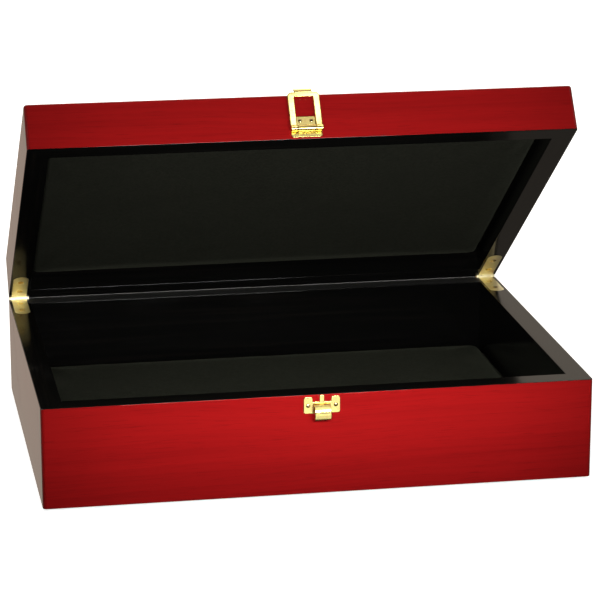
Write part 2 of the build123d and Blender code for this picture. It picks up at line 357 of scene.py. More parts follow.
def painted_shade_group() -> NodeGroup:
    """Build the painted shade that darkens a board towards its ends and its lower edge.

    Returns:
        A group on a vector that runs from -1 to 1 along the board in X, and from 0 to 1 up it in Y.
    """
    inputs = {"Board": "vector", "Colour": "colour", "Toner": "colour", "Ends": "value",
              "Foot": "value"}
    group = NodeGroup("edge_toner", GroupKind.SHADER, inputs, {"Colour": "colour"})
    part = group.add("ShaderNodeSeparateXYZ", {0: group.inputs["Board"]}).outputs
    cloud = group.noise(group.inputs["Board"], 3.0, 2.0)
    uneven = group.times(group.math("SUBTRACT", cloud, 0.5), 0.16)
    along = group.plus(group.math("ABSOLUTE", part[0]), uneven)
    height = group.plus(part[1], uneven)
    # Painted shade: the colour goes towards the shade colour near the board's ends and its foot.
    ends = group.times(group.span(along, 0.62, 1.06), group.inputs["Ends"])
    foot = group.times(group.span(height, 0.62, -0.06), group.inputs["Foot"])
    both = group.math("MINIMUM", group.plus(ends, foot), 1.0)
    group.give(Colour=group.blend(both, group.inputs["Colour"], group.inputs["Toner"]))
    return group


def handling_group() -> NodeGroup:
    """Build the faint haze that wiping leaves on a polished surface, as a roughness."""
    inputs = {"Vector": "vector", "Size": "value", "Clean": "value", "Hazy": "value"}
    group = NodeGroup("handling_haze", GroupKind.SHADER, inputs, {"Roughness": "value"})
    scale = group.math("DIVIDE", 1.0, group.inputs["Size"])
    cloud = group.noise(group.inputs["Vector"], scale, 4.0, 0.6, 0.6)
    wiped = group.noise(group.scaled(group.inputs["Vector"], (1.0, 6.0, 6.0)), scale, 2.0)
    haze = group.times(group.span(cloud, 0.42, 0.75), group.span(wiped, 0.25, 0.75))
    node = group.add("ShaderNodeMapRange", {
        "Value": haze, 3: group.inputs["Clean"], 4: group.inputs["Hazy"]})
    group.give(Roughness=node.outputs[0])
    return group


def orange_peel_group() -> NodeGroup:
    """Build the shallow ripple of a sprayed surface, as a height."""
    inputs = {"Vector": "vector", "Size": "value"}
    group = NodeGroup("orange_peel", GroupKind.SHADER, inputs, {"Height": "value"})
    scale = group.math("DIVIDE", 1.0, group.inputs["Size"])
    ripple = group.noise(group.inputs["Vector"], scale, 1.0)
    swell = group.noise(group.inputs["Vector"], group.times(scale, 0.12), 1.0)
    group.give(Height=group.plus(group.times(ripple, 0.25), swell))
    return group


def pile_group() -> NodeGroup:
    """Build a short fabric pile: clumped fibres that are darker deep down as painted shade, and
    patches of painted sheen where the nap lies another way.
    """
    inputs = {"Vector": "vector", "Root": "colour", "Tip": "colour", "Fibre": "value",
              "Patch": "value"}
    outputs = {"Colour": "colour", "Height": "value"}
    group = NodeGroup("fabric_pile", GroupKind.SHADER, inputs, outputs)
    vector = group.inputs["Vector"]
    fibre_scale = group.math("DIVIDE", 1.0, group.inputs["Fibre"])
    fibres = group.noise(vector, fibre_scale, 3.0, 0.7)
    clumps = group.noise(vector, group.times(fibre_scale, 0.22), 2.0)
    nap = group.noise(vector, group.math("DIVIDE", 1.0, group.inputs["Patch"]), 2.0, 0.5, 0.8)
    depth = group.plus(group.times(fibres, 0.65), group.times(clumps, 0.35))
    # Painted shade deep in the pile, and painted sheen that brightens or darkens the nap patches.
    lit = group.times(group.span(depth, 0.33, 0.68), group.span(nap, 0.30, 0.70, 0.72, 1.0))
    group.give(Colour=group.blend(lit, group.inputs["Root"], group.inputs["Tip"]), Height=depth)
    return group


class Groups:
    """The shared shader groups, each built once."""

    rosewood = rosewood_group()
    toner = painted_shade_group()
    handling = handling_group()
    orange_peel = orange_peel_group()
    pile = pile_group()


# ---- Finishes

GRAIN = "grain"
BOARD = "board"


class Finish:
    """Common steps of a finish: one material with a Principled surface."""

    name: str

    def start(self) -> tuple[Material, Graph, bpy.types.Node]:
        """Make the material, a graph on it and its Principled node."""
        material = bpy.data.materials.new(self.name)
        material.use_nodes = True
        graph = Graph(material.node_tree)
        return material, graph, material.node_tree.nodes["Principled BSDF"]

    @staticmethod
    def group(graph: Graph, group: NodeGroup, sockets: dict) -> bpy.types.bpy_prop_collection:
        """Place a shared group in a material, and give its outputs."""
        node = graph.add("ShaderNodeGroup", node_tree=group.tree)
        for name, value in sockets.items():
            graph.feed(node.inputs[name], value)
        return node.outputs

    @staticmethod
    def coat(graph: Graph, surface: bpy.types.Node, colour: Socket,
             height: Socket, depth: float, fixed: dict[str, object]) -> None:
        """Feed a surface.

        Args:
            graph: the material's graph.
            surface: its Principled node.
            colour: the base colour.
            height: the relief.
            depth: how deep the relief is, in metres.
            fixed: the values that are the same all over.
        """
        bump = graph.add("ShaderNodeBump", {"Height": height, "Strength": 1.0, "Distance": depth})
        graph.feed(surface.inputs["Base Color"], colour)
        graph.feed(surface.inputs["Normal"], bump.outputs["Normal"])
        for name, value in fixed.items():
            surface.inputs[name].default_value = value


@dataclass(frozen=True)
class Lacquer(Finish):
    """A sprayed, polished and handled gloss that follows the boards' own grain attribute."""

    name: str
    ground: Colour
    peel_size: float
    peel_depth: float
    gloss: float
    haze: float
    haze_size: float
    specular: float

    def colour(self, graph: Graph, grain: Socket) -> Socket:
        """Build what shows through the gloss."""
        raise NotImplementedError

    def make(self) -> Material:
        """Build the material."""
        material, graph, surface = self.start()
        grain = graph.attribute(GRAIN)
        peel = self.group(graph, Groups.orange_peel, {"Vector": grain, "Size": self.peel_size})
        haze = self.group(graph, Groups.handling, {
            "Vector": grain, "Size": self.haze_size, "Clean": self.gloss, "Hazy": self.haze})
        graph.feed(surface.inputs["Roughness"], haze["Roughness"])
        self.coat(graph, surface, self.colour(graph, grain), peel["Height"], self.peel_depth,
                  {"Specular IOR Level": self.specular})
        return material


@dataclass(frozen=True)
class RosewoodLacquer(Lacquer):
    """Stained rosewood figure under a deep clear gloss."""

    name: str = "rosewood_lacquer"
    ground: Colour = (0.43, 0.0095, 0.0100)
    peel_size: float = 3.2 * MM
    peel_depth: float = 0.006 * MM
    gloss: float = 0.05
    haze: float = 0.15
    haze_size: float = 45 * MM
    specular: float = 0.20
    figure: Colour = (0.27, 0.0050, 0.0062)
    pore: Colour = (0.12, 0.003, 0.004)
    contrast: float = 0.62
    # Painted shade: a darker colour towards each board's ends and lower edge, standing in for the
    # light falling off there.
    toner: Colour = (0.11, 0.0016, 0.0022)
    painted_end_shade: float = 0.20
    painted_foot_shade: float = 0.36

    def colour(self, graph: Graph, grain: Socket) -> Socket:
        """Build the figured wood, with painted shade towards the boards' ends and lower edges."""
        wood = self.group(graph, Groups.rosewood, {
            "Vector": grain, "Ground": rgba(self.ground), "Figure": rgba(self.figure),
            "Pore": rgba(self.pore), "Contrast": self.contrast})
        with_painted_shade = self.group(graph, Groups.toner, {
            "Board": graph.attribute(BOARD), "Colour": wood["Colour"],
            "Toner": rgba(self.toner), "Ends": self.painted_end_shade, "Foot": self.painted_foot_shade})
        return with_painted_shade["Colour"]


@dataclass(frozen=True)
class BlackLacquer(Lacquer):
    """Black gloss on the rims and the inner faces, a little thin in streaks."""

    name: str = "black_lacquer"
    ground: Colour = (0.0032, 0.0032, 0.0030)
    peel_size: float = 2.4 * MM
    peel_depth: float = 0.007 * MM
    gloss: float = 0.13
    haze: float = 0.26
    haze_size: float = 38 * MM
    specular: float = 0.42
    thin: Colour = (0.0062, 0.0054, 0.0048)
    streaks: tuple[float, float, float] = (12.0, 500.0, 500.0)

    def colour(self, graph: Graph, grain: Socket) -> Socket:
        """Build the streaked black."""
        streak = graph.noise(graph.scaled(grain, self.streaks), 1.0, 2.0)
        return graph.blend(graph.span(streak, 0.45, 0.75), rgba(self.ground), rgba(self.thin))


@dataclass(frozen=True)
class Pile(Finish):
    """Velour or felt: a dark short pile with a soft sheen at its edge."""

    name: str
    root: Colour
    tip: Colour
    fibre: float
    patch: float
    relief: float
    sheen: float
    sheen_tint: Colour
    specular: float = 0.08
    sheen_spread: float = 0.45

    def make(self) -> Material:
        """Build the material on Object coordinates."""
        material, graph, surface = self.start()
        pile = self.group(graph, Groups.pile, {
            "Vector": graph.place(), "Root": rgba(self.root), "Tip": rgba(self.tip),
            "Fibre": self.fibre, "Patch": self.patch})
        self.coat(graph, surface, pile["Colour"], pile["Height"], self.relief, {
            "Roughness": 1.0, "Specular IOR Level": self.specular, "Sheen Weight": self.sheen,
            "Sheen Roughness": self.sheen_spread, "Sheen Tint": rgba(self.sheen_tint)})
        return material


@dataclass(frozen=True)
class Brass(Finish):
    """Polished brass, with rolling or turning lines and a few warmer patches."""

    name: str
    bright: Colour
    warm: Colour
    clean: float
    hazy: float
    lines: tuple[float, float, float]
    haze_size: float = 7 * MM
    patches: float = 260.0
    line_depth: float = 0.0018 * MM

    def make(self) -> Material:
        """Build the material on Object coordinates."""
        material, graph, surface = self.start()
        place = graph.place()
        haze = self.group(graph, Groups.handling, {
            "Vector": place, "Size": self.haze_size, "Clean": self.clean, "Hazy": self.hazy})
        warmth = graph.span(graph.noise(place, self.patches, 3.0, 0.6), 0.45, 0.80)
        lines = graph.noise(graph.scaled(place, self.lines), 1.0, 2.0)
        graph.feed(surface.inputs["Roughness"], haze["Roughness"])
        self.coat(graph, surface, graph.blend(warmth, rgba(self.bright), rgba(self.warm)), lines,
                  self.line_depth, {"Metallic": 1.0})
        return material


@dataclass(frozen=True)
class Pulp(Finish):
    """Matt sheet goods that the lining hides: fibreboard, card and foam."""

    name: str
    pale: Colour
    dark: Colour
    speck: float
    relief: float
    dullness: float = 0.92

    def make(self) -> Material:
        """Build the material on Object coordinates."""
        material, graph, surface = self.start()
        specks = graph.noise(graph.place(), 1.0 / self.speck, 4.0, 0.7)
        colour = graph.blend(graph.span(specks, 0.35, 0.65), rgba(self.dark), rgba(self.pale))
        self.coat(graph, surface, colour, specks, self.relief, {"Roughness": self.dullness})
        return material


class Finishes:
    """Every finish of the box, each made once."""

    rosewood = RosewoodLacquer().make()
    black = BlackLacquer().make()
    # Satin black on the base's rear rim: the satin gloss is real, but its grey colour is painted
    # light, standing in for light that comes through the gap under the lid.
    satin_black_painted_light = BlackLacquer(
        "dull_black_lacquer", (0.066, 0.066, 0.062), thin=(0.088, 0.087, 0.082), gloss=0.38,
        haze=0.50).make()
    velour = Pile("black_velour", (0.0022, 0.0023, 0.0016), (0.0165, 0.0175, 0.0120), 0.35 * MM,
                  42 * MM, 0.16 * MM, 0.10, (0.50, 0.53, 0.38)).make()
    felt = Pile("underside_felt", (0.004, 0.004, 0.004), (0.030, 0.030, 0.031), 0.6 * MM,
                30 * MM, 0.22 * MM, 0.12, (0.5, 0.5, 0.5)).make()
    sheet_brass = Brass("sheet_brass", (0.95, 0.78, 0.28), (0.92, 0.66, 0.24), 0.20, 0.32,
                        (30.0, 2400.0, 2400.0)).make()
    hinge_brass = Brass("hinge_brass", (0.94, 0.87, 0.58), (0.91, 0.79, 0.46), 0.42, 0.50,
                        (2400.0, 60.0, 60.0)).make()
    turned_brass = Brass("turned_brass", (0.94, 0.76, 0.36), (0.87, 0.64, 0.26), 0.18, 0.30,
                         (900.0, 900.0, 900.0)).make()
    fibreboard = Pulp("fibreboard", (0.46, 0.33, 0.20), (0.30, 0.20, 0.11), 0.9 * MM,
                      0.03 * MM).make()
    card = Pulp("backing_card", (0.52, 0.47, 0.39), (0.38, 0.33, 0.26), 0.5 * MM, 0.01 * MM).make()
    foam = Pulp("lining_foam", (0.74, 0.73, 0.66), (0.40, 0.39, 0.33), 0.7 * MM, 0.15 * MM).make()


# ---- Outlines, in millimetres

def arc(centre: Point, radius: float, start: float, end: float, steps: int = 8) -> list[Point]:
    """Points round an arc.

    Args:
        centre: middle of the arc.
        radius: its radius.
        start: first angle, in degrees.
        end: last angle, in degrees.
        steps: number of spans.

    Returns:
        The points, both ends with them.
    """
    turns = [math.radians(start + (end - start) * k / steps) for k in range(steps + 1)]
    return [(centre[0] + radius * math.cos(t), centre[1] + radius * math.sin(t)) for t in turns]


def circle(centre: Point, radius: float, steps: int = 36) -> list[Point]:
    """Points round a whole circle, without the last one again."""
    return arc(centre, radius, 0.0, 360.0, steps)[:-1]


def filleted(corners: Sequence[tuple[float, float, float]], steps: int = 6) -> list[Point]:
    """Round the corners of a closed outline.

    Args:
        corners: each corner and its radius, which is 0 for a sharp one.
        steps: spans in each rounded corner.

    Returns:
        The outline's points.
    """
    points: list[Point] = []
    count = len(corners)
    for k, (x, y, radius) in enumerate(corners):
        here = Vector((x, y))
        before = (Vector(corners[k - 1][:2]) - here).normalized()
        after = (Vector(corners[(k + 1) % count][:2]) - here).normalized()
        if radius <= 0.0:
            points.append((x, y))
            continue
        half = before.angle(after) / 2
        middle = here + (before + after).normalized() * (radius / math.sin(half))
        first = here + before * (radius / math.tan(half)) - middle
        last = here + after * (radius / math.tan(half)) - middle
        start = math.atan2(first.y, first.x)
        sweep = math.atan2(first.x * last.y - first.y * last.x, first.dot(last))
        points += arc((middle.x, middle.y), radius, math.degrees(start),
                      math.degrees(start + sweep), steps)
    return points


def rounded_box(low: Point, high: Point, radius: float, steps: int = 6) -> list[Point]:
    """Give the outline of a box with rounded corners."""
    return filleted([(low[0], low[1], radius), (high[0], low[1], radius),
                     (high[0], high[1], radius), (low[0], high[1], radius)], steps)


# ---- Mesh work


def settle(mesh: Mesh, *steps: Callable[[Item], None]) -> Mesh:
    """Put a mesh through modifiers.

    Args:
        mesh: the mesh, which is used up.
        *steps: functions that each add a modifier to the object they are given.

    Returns:
        The plain result.
    """
    holder = bpy.data.objects.new("settling", mesh)
    bpy.context.scene.collection.objects.link(holder)
    for step in steps:
        step(holder)
    graph = bpy.context.evaluated_depsgraph_get()
    done = bpy.data.meshes.new_from_object(
        holder.evaluated_get(graph), preserve_all_data_layers=True, depsgraph=graph)
    bpy.data.objects.remove(holder)
    bpy.data.meshes.remove(mesh)
    return done


def merged(*meshes: Mesh) -> Mesh:
    """Put several meshes into one, and use them up."""
    whole = bmesh.new()
    for mesh in meshes:
        whole.from_mesh(mesh)
        bpy.data.meshes.remove(mesh)
    result = bpy.data.meshes.new("merged")
    whole.to_mesh(result)
    whole.free()
    return result


def tidied(mesh: Mesh, merge: float = 0.002 * MM) -> Mesh:
    """Weld a mesh and turn its faces outwards."""
    work = bmesh.new()
    work.from_mesh(mesh)
    bmesh.ops.remove_doubles(work, verts=work.verts, dist=merge)
    bmesh.ops.dissolve_degenerate(work, edges=work.edges, dist=merge)
    bmesh.ops.recalc_face_normals(work, faces=work.faces)
    work.to_mesh(mesh)
    work.free()
    return mesh


def smoothed(mesh: Mesh, sharp: float) -> Mesh:
    """Shade a mesh smoothly, with flat faces kept flat, and edges above an angle kept sharp."""
    mesh.shade_smooth()
    mesh.set_sharp_from_angle(angle=math.radians(sharp))

    def weigh(holder: Item) -> None:
        """Let the large faces rule the normals at their arrises."""
        weighted = holder.modifiers.new("weighted", "WEIGHTED_NORMAL")
        weighted.keep_sharp = True
        weighted.weight = 90

    return settle(mesh, weigh)


@dataclass(frozen=True)
class Plate:
    """A closed shape with even thickness and rounded arrises, in millimetres.

    The first outline is the outside, and the others are openings. It lies in the local XY plane
    and is thick along local Z.
    """

    outlines: tuple[Sequence[Point], ...]
    low: float
    high: float
    arris: float = 0.2
    steps: int = 3

    def mesh(self, place: Matrix) -> Mesh:
        """Build the plate.

        Args:
            place: from the plate's own axes, in metres, to where it stands.

        Returns:
            A closed mesh.
        """
        curve = bpy.data.curves.new("outline", "CURVE")
        curve.dimensions = "2D"
        curve.fill_mode = "BOTH"
        curve.extrude = (self.high - self.low) / 2 - self.arris
        curve.bevel_depth = self.arris
        curve.bevel_resolution = self.steps - 1
        curve.offset = -self.arris
        for outline in self.outlines:
            spline = curve.splines.new("POLY")
            spline.points.add(len(outline) - 1)
            for point, (x, y) in zip(spline.points, outline):
                point.co = (x, y, 0.0, 1.0)
            spline.use_cyclic_u = True
        holder = bpy.data.objects.new("outline", curve)
        bpy.context.scene.collection.objects.link(holder)
        graph = bpy.context.evaluated_depsgraph_get()
        mesh = bpy.data.meshes.new_from_object(holder.evaluated_get(graph))
        bpy.data.objects.remove(holder)
        bpy.data.curves.remove(curve)
        middle = Matrix.Translation((0.0, 0.0, (self.low + self.high) / 2))
        mesh.transform(place @ Matrix.Diagonal((MM, MM, MM, 1.0)) @ middle)
        return tidied(mesh)


def axes(origin: Sequence[float], across: Sequence[float], along: Sequence[float]) -> Matrix:
    """Give the matrix of a plane, from its origin and its local X and Y directions."""
    first, second = Vector(across), Vector(along)
    third = first.cross(second)
    matrix = Matrix((first, second, third)).transposed().to_4x4()
    matrix.translation = Vector(origin)
    return matrix


ALONG_HINGES = axes((0, 0, 0), (0, 1, 0), (0, 0, 1))


@dataclass(frozen=True)
class Dress:
    """What a finished piece is, besides its mesh."""

    name: str
    body: str
    slot: str
    materials: tuple[Material, ...]
    nodes: tuple[str, ...]
    sharp: float = 35.0

    def put_on(self, mesh: Mesh, place: Matrix = Matrix.Identity(4)) -> Item:
        """Finish a mesh as a piece of the visual model.

        Args:
            mesh: the piece's mesh, which is used up.
            place: the turn of the half that carries it.

        Returns:
            The piece.
        """
        mesh = smoothed(mesh, self.sharp)
        mesh.transform(place)
        mesh.name = self.name
        for material in self.materials[len(mesh.materials):]:
            mesh.materials.append(material)
        piece = bpy.data.objects.new(self.name, mesh)
        bpy.context.scene.collection.objects.link(piece)
        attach(piece, self.body)
        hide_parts(*self.nodes)
        log.info("%s: %d faces on body %s", self.name, len(mesh.polygons), self.body)
        return piece


def repaint(node: str, material: Material) -> None:
    """Give a CAD node that keeps its shape a better material."""
    data = frame["nodes"][node].data
    data.materials.clear()
    data.materials.append(material)
    log.info("%s: CAD shape with %s", node, material.name)


# ---- Geometry Nodes for the fasteners


class FastenerTree(NodeGroup):
    """A tree that puts one fastener on each vertex of a mesh, with its head towards local Z."""

    def __init__(self, name: str, sizes: Sequence[str]) -> None:
        """Start the tree, with an input for each named size."""
        inputs = {"Places": "geometry", **{size: "value" for size in sizes},
                  "Lean": "value", "Seed": "count", "Material": "material"}
        super().__init__(name, GroupKind.GEOMETRY, inputs, {"Geometry": "geometry"})

    def vector(self, x: object = 0.0, y: object = 0.0, z: object = 0.0) -> Socket:
        """Join three numbers into a vector."""
        return self.add("ShaderNodeCombineXYZ", {0: x, 1: y, 2: z}).outputs[0]

    def moved(self, geometry: Socket, height: object) -> Socket:
        """Move a shape along local Z."""
        sockets = {"Geometry": geometry, "Translation": self.vector(z=height)}
        return self.add("GeometryNodeTransform", sockets).outputs[0]

    def cone(self, top: object, bottom: object, depth: object) -> Socket:
        """Add a closed cone that stands on the local XY plane."""
        sockets = {"Vertices": 32, "Radius Top": top, "Radius Bottom": bottom, "Depth": depth}
        return self.add("GeometryNodeMeshCone", sockets).outputs["Mesh"]

    def shank(self, point: float, length: object) -> Socket:
        """Add a tapered shank that hangs down from the plane, with its point as a share."""
        radius = self.inputs["Shank Radius"]
        return self.moved(self.cone(radius, self.times(radius, point), length),
                          self.times(length, -1.0))

    def joined(self, *shapes: Socket) -> Socket:
        """Join several shapes into one."""
        join = self.add("GeometryNodeJoinGeometry")
        for shape in shapes:
            self.tree.links.new(shape, join.inputs[0])
        return join.outputs[0]

    def strewn(self, fastener: Socket) -> None:
        """Put the fastener on every place, each turned and leant its own way, and end the tree."""
        lean = self.inputs["Lean"]
        back = self.times(lean, -1.0)
        turn = self.add("FunctionNodeRandomValue", {
            0: self.vector(back, back, 0.0), 1: self.vector(lean, lean, math.tau),
            "Seed": self.inputs["Seed"]}, data_type="FLOAT_VECTOR")
        euler = self.add("FunctionNodeEulerToRotation", {0: turn.outputs[0]})
        placed = self.add("GeometryNodeInstanceOnPoints", {
            "Points": self.inputs["Places"], "Instance": fastener, "Rotation": euler.outputs[0]})
        real = self.add("GeometryNodeRealizeInstances", {0: placed.outputs[0]})
        done = self.add("GeometryNodeSetMaterial", {
            "Geometry": real.outputs[0], "Material": self.inputs["Material"]})
        self.give(Geometry=done.outputs[0])


def nail_tree() -> FastenerTree:
    """Build the tree of dome-headed nails."""
    sizes = ("Head Radius", "Head Height", "Shank Radius", "Shank Length")
    tree = FastenerTree("dome_nails", sizes)
    ball = tree.add("GeometryNodeMeshUVSphere", {"Segments": 32, "Rings": 16, "Radius": 1.0})
    spot = tree.add("GeometryNodeInputPosition").outputs[0]
    part = tree.add("ShaderNodeSeparateXYZ", {0: spot}).outputs
    radius = tree.inputs["Head Radius"]
    crown = tree.times(tree.math("MAXIMUM", part[2], -0.06), tree.inputs["Head Height"])
    dome = tree.vector(tree.times(part[0], radius), tree.times(part[1], radius), crown)
    head = tree.add("GeometryNodeSetPosition", {"Geometry": ball.outputs[0], "Position": dome})
    tree.strewn(tree.joined(head.outputs[0], tree.shank(0.3, tree.inputs["Shank Length"])))
    return tree


def screw_tree() -> FastenerTree:
    """Build the tree of countersunk screws with a cross recess."""
    sizes = ("Head Radius", "Head Depth", "Shank Radius", "Length", "Recess Length",
             "Recess Width", "Recess Depth")
    tree = FastenerTree("cross_screws", sizes)
    depth = tree.inputs["Head Depth"]
    head = tree.moved(tree.cone(tree.inputs["Head Radius"], tree.inputs["Shank Radius"], depth),
                      tree.times(depth, -1.0))
    deep = tree.times(tree.inputs["Recess Depth"], 2.0)
    bars = [
        tree.add("GeometryNodeMeshCube", {"Size": tree.vector(
            tree.inputs[first], tree.inputs[second], deep)}).outputs[0]
        for first, second in (("Recess Length", "Recess Width"),
                              ("Recess Width", "Recess Length"))
    ]
    cut = tree.add("GeometryNodeMeshBoolean", operation="DIFFERENCE", solver="EXACT")
    tree.feed(cut.inputs["Mesh 1"], head)
    for bar in bars:
        tree.tree.links.new(bar, cut.inputs["Mesh 2"])
    tree.strewn(tree.joined(cut.outputs[0], tree.shank(0.25, tree.inputs["Length"])))
    return tree


@dataclass(frozen=True)
class Fasteners:
    """Some fasteners of one kind, in one plane."""

    tree: FastenerTree
    sizes: dict[str, float]
    places: tuple[Point, ...]
    lean: float
    seed: int

    def mesh(self, plane: Matrix, material: Material) -> Mesh:
        """Run the tree on the places.

        Args:
            plane: from the plane of the heads' undersides to where it stands.
            material: the fasteners' finish.

        Returns:
            A plain mesh of all of them.
        """
        points = bpy.data.meshes.new("places")
        points.from_pydata([(x * MM, y * MM, 0.0) for x, y in self.places], [], [])
        values = {name: size * MM for name, size in self.sizes.items()}
        values.update({"Lean": math.radians(self.lean), "Seed": self.seed, "Material": material})

        def run(holder: Item) -> None:
            """Add the tree with its inputs."""
            modifier = holder.modifiers.new("fasteners", "NODES")
            modifier.node_group = self.tree.tree
            for name, value in values.items():
                modifier[self.tree.identifiers[name]] = value

        mesh = settle(points, run)
        mesh.transform(plane)
        return tidied(mesh)


class Trees:
    """The fastener trees, each built once."""

    nails = nail_tree()
    screws = screw_tree()


# ---- The wooden halves


@dataclass(frozen=True)
class HingeSizes:
    """A side-rail hinge, in millimetres, and where it stands."""

    x: float = 134.3
    axis_y: float = TURN.point.y / MM
    axis_z: float = TURN.point.z / MM
    leaf_length: float = 32.0
    leaf_width: float = 8.4
    leaf_thickness: float = 1.6
    barrel_radius: float = 2.2
    barrel_length: float = 10.6
    lid_knuckle: float = 3.8
    knuckle_gap: float = 0.1
    knuckle_room: float = 0.15
    pin_radius: float = 0.9
    screw_spacing: tuple[float, float] = (10.5, 23.5)
    screw_head: float = 1.7

    def centre(self, hand: Hand) -> float:
        """Give the hinge's place along X."""
        return self.x if hand is Hand.RIGHT else -self.x

    def rim(self, half: Half) -> float:
        """Give the height of a half's rim, in millimetres."""
        return (CASE.base_rim if half is Half.BASE else CASE.lid_rim) / MM


HINGE = HingeSizes()


@dataclass(frozen=True)
class WoodenHalf:
    """Common make of the two halves: four mitred boards with eased, lacquered rims."""

    half: Half
    rim: float
    far: float
    corner: float = 2.0 * MM
    corner_steps: int = 6
    rim_arris: float = 0.35 * MM
    rear_arris_share: float = 0.05
    rear_fill: float = 0.135 * MM
    rim_fill: float = 0.097 * MM
    arris_steps: int = 3
    arris_facing: float = 0.9
    upright: float = 0.2
    upright_facing: float = 0.65
    flat_facing: float = 0.7
    mortise_room: float = 0.06
    barrel_room: float = 0.3
    cutter_arris: float = 0.01
    cutter_above: float = 2.0
    cutter_behind: float = 3.0
    grain_turns: tuple[float, float, float] = (11.3, 3.1, 5.7)

    @property
    def up(self) -> float:
        """Give +1 where the rim is above the rest of the half, and -1 where it is below."""
        return 1.0 if self.rim > self.far else -1.0

    @property
    def painted_shade_span(self) -> tuple[float, float]:
        """Give the heights between which the painted shade fades, lower end first."""
        return self.far, self.rim

    def rim_profile(self) -> list[Point]:
        """Give the section's points over the rim, from the outside in, as inset and height."""
        points: list[Point] = []
        for centre, start in ((self.rim_arris, 180.0), (CASE.wall - self.rim_arris, 90.0)):
            turn = arc((centre, 0.0), self.rim_arris, start, start - 90.0, self.arris_steps)
            points += [(x, self.rim + self.up * (y - self.rim_arris)) for x, y in turn]
        return points

    def profile(self) -> list[Point]:
        """Give the whole section of a wall, as inset and height."""
        raise NotImplementedError

    def eased(self, inset: float, height: float, rear: float) -> Point:
        """Give a section's point with its rim raised a hair and its rear arris kept small.

        Args:
            inset: the point's distance in from the outside.
            height: its height.
            rear: how far round to the rear of the box it is, from 0 to 1.

        Returns:
            The point's inset and height.
        """
        depth = abs(height - self.rim)
        if depth > self.rim_arris + NEAR:
            return inset, height
        outer = rear if inset < self.rim_arris + NEAR else 0.0
        tight = 1.0 - outer * (1.0 - self.rear_arris_share)
        return (inset * tight - outer * self.rear_fill,
                self.rim + self.up * (self.rim_fill - depth * tight))

    def loop(self, inset: float, height: float) -> Loop:
        """Points round the half at one inset and height."""
        points = []
        for sign_x, sign_y, start in ((1, 1, 0.0), (-1, 1, 90.0), (-1, -1, 180.0), (1, -1, 270.0)):
            for k in range(self.corner_steps + 1):
                turn = math.radians(start + 90.0 * k / self.corner_steps)
                rear = max(0.0, math.sin(turn)) ** 4 if sign_y > 0 else 0.0
                deep, level = self.eased(inset, height, rear)
                radius = max(self.corner - deep, 0.0)
                x = sign_x * (CASE.width / 2 - max(deep, self.corner))
                y = sign_y * (CASE.depth / 2 - max(deep, self.corner))
                points.append(Vector((x + radius * math.cos(turn), y + radius * math.sin(turn),
                                      level)))
        return points

    def swept(self, profile: Sequence[Point], closed: bool) -> Mesh:
        """Sweep a section round the half.

        Args:
            profile: the section's points, as inset and height.
            closed: True for a ring, False for a slab whose two ends are filled.

        Returns:
            A closed mesh.
        """
        work = bmesh.new()
        loops = [[work.verts.new(point) for point in self.loop(*spot)] for spot in profile]
        pairs = list(zip(loops, loops[1:])) + ([(loops[-1], loops[0])] if closed else [])
        for first, second in pairs:
            count = len(first)
            for k in range(count):
                n = (k + 1) % count
                work.faces.new((first[k], first[n], second[n], second[k]))
        if not closed:
            work.faces.new(loops[0])
            work.faces.new(loops[-1])
        mesh = bpy.data.meshes.new("swept")
        work.to_mesh(mesh)
        work.free()
        return tidied(mesh)

    def mitred(self, ring: Mesh, side: Side) -> Mesh:
        """Cut one wall out of a ring at its two mitres."""
        work = bmesh.new()
        work.from_mesh(ring)
        out = Vector((*side.value, 0.0))
        across = Vector((-out.y, out.x, 0.0))
        for sign in (1.0, -1.0):
            span = sign * across
            corner = Vector((
                (out.x + span.x) * CASE.width / 2, (out.y + span.y) * CASE.depth / 2, 0.0))
            normal = (span - out).normalized()
            cut = bmesh.ops.bisect_plane(
                work, geom=[*work.verts, *work.edges, *work.faces], plane_co=corner,
                plane_no=normal, clear_outer=True, dist=1e-7)
            edges = [item for item in cut["geom_cut"] if isinstance(item, bmesh.types.BMEdge)]
            bmesh.ops.holes_fill(work, edges=edges, sides=0)
        mesh = bpy.data.meshes.new("wall")
        work.to_mesh(mesh)
        work.free()
        return tidied(mesh)

    def mortises(self) -> list[Item]:
        """Make the cutters for the leaves and barrels of both hinges."""
        room = self.mortise_room
        rim = HINGE.rim(self.half)
        half_width = HINGE.leaf_width / 2 + room
        cutters = []
        for hand in Hand:
            x = HINGE.centre(hand)
            tip = HINGE.axis_y - HINGE.leaf_length + HINGE.leaf_width / 2
            back = HINGE.axis_y + self.cutter_behind
            outline = arc((x, tip), half_width, 180.0, 360.0, 20)
            outline += [(x + half_width, back), (x - half_width, back)]
            depths = sorted((rim + self.up * self.cutter_above,
                             rim - self.up * (HINGE.leaf_thickness + room)))
            slot = Plate((outline,), *depths, self.cutter_arris, 1)
            reach = HINGE.barrel_length / 2 + self.barrel_room
            ring = circle((HINGE.axis_y, HINGE.axis_z), HINGE.barrel_radius + self.barrel_room)
            barrel = Plate((ring,), x - reach, x + reach, self.cutter_arris, 1)
            for mesh in (slot.mesh(Matrix.Identity(4)), barrel.mesh(ALONG_HINGES)):
                cutter = bpy.data.objects.new("cutter", mesh)
                bpy.context.scene.collection.objects.link(cutter)
                cutters.append(cutter)
        return cutters

    def carved(self, mesh: Mesh, cutters: Iterable[Item]) -> Mesh:
        """Cut the hinge mortises into a board."""

        def carve(holder: Item) -> None:
            """Add one exact cut for each cutter."""
            for cutter in cutters:
                boolean = holder.modifiers.new("mortise", "BOOLEAN")
                boolean.operation = "DIFFERENCE"
                boolean.solver = "EXACT"
                boolean.object = cutter

        return tidied(settle(mesh, carve))

    @staticmethod
    def inset(spot: Vector) -> float:
        """Give how far in from the outside of the box a point is."""
        return min(CASE.width / 2 - abs(spot.x), CASE.depth / 2 - abs(spot.y))

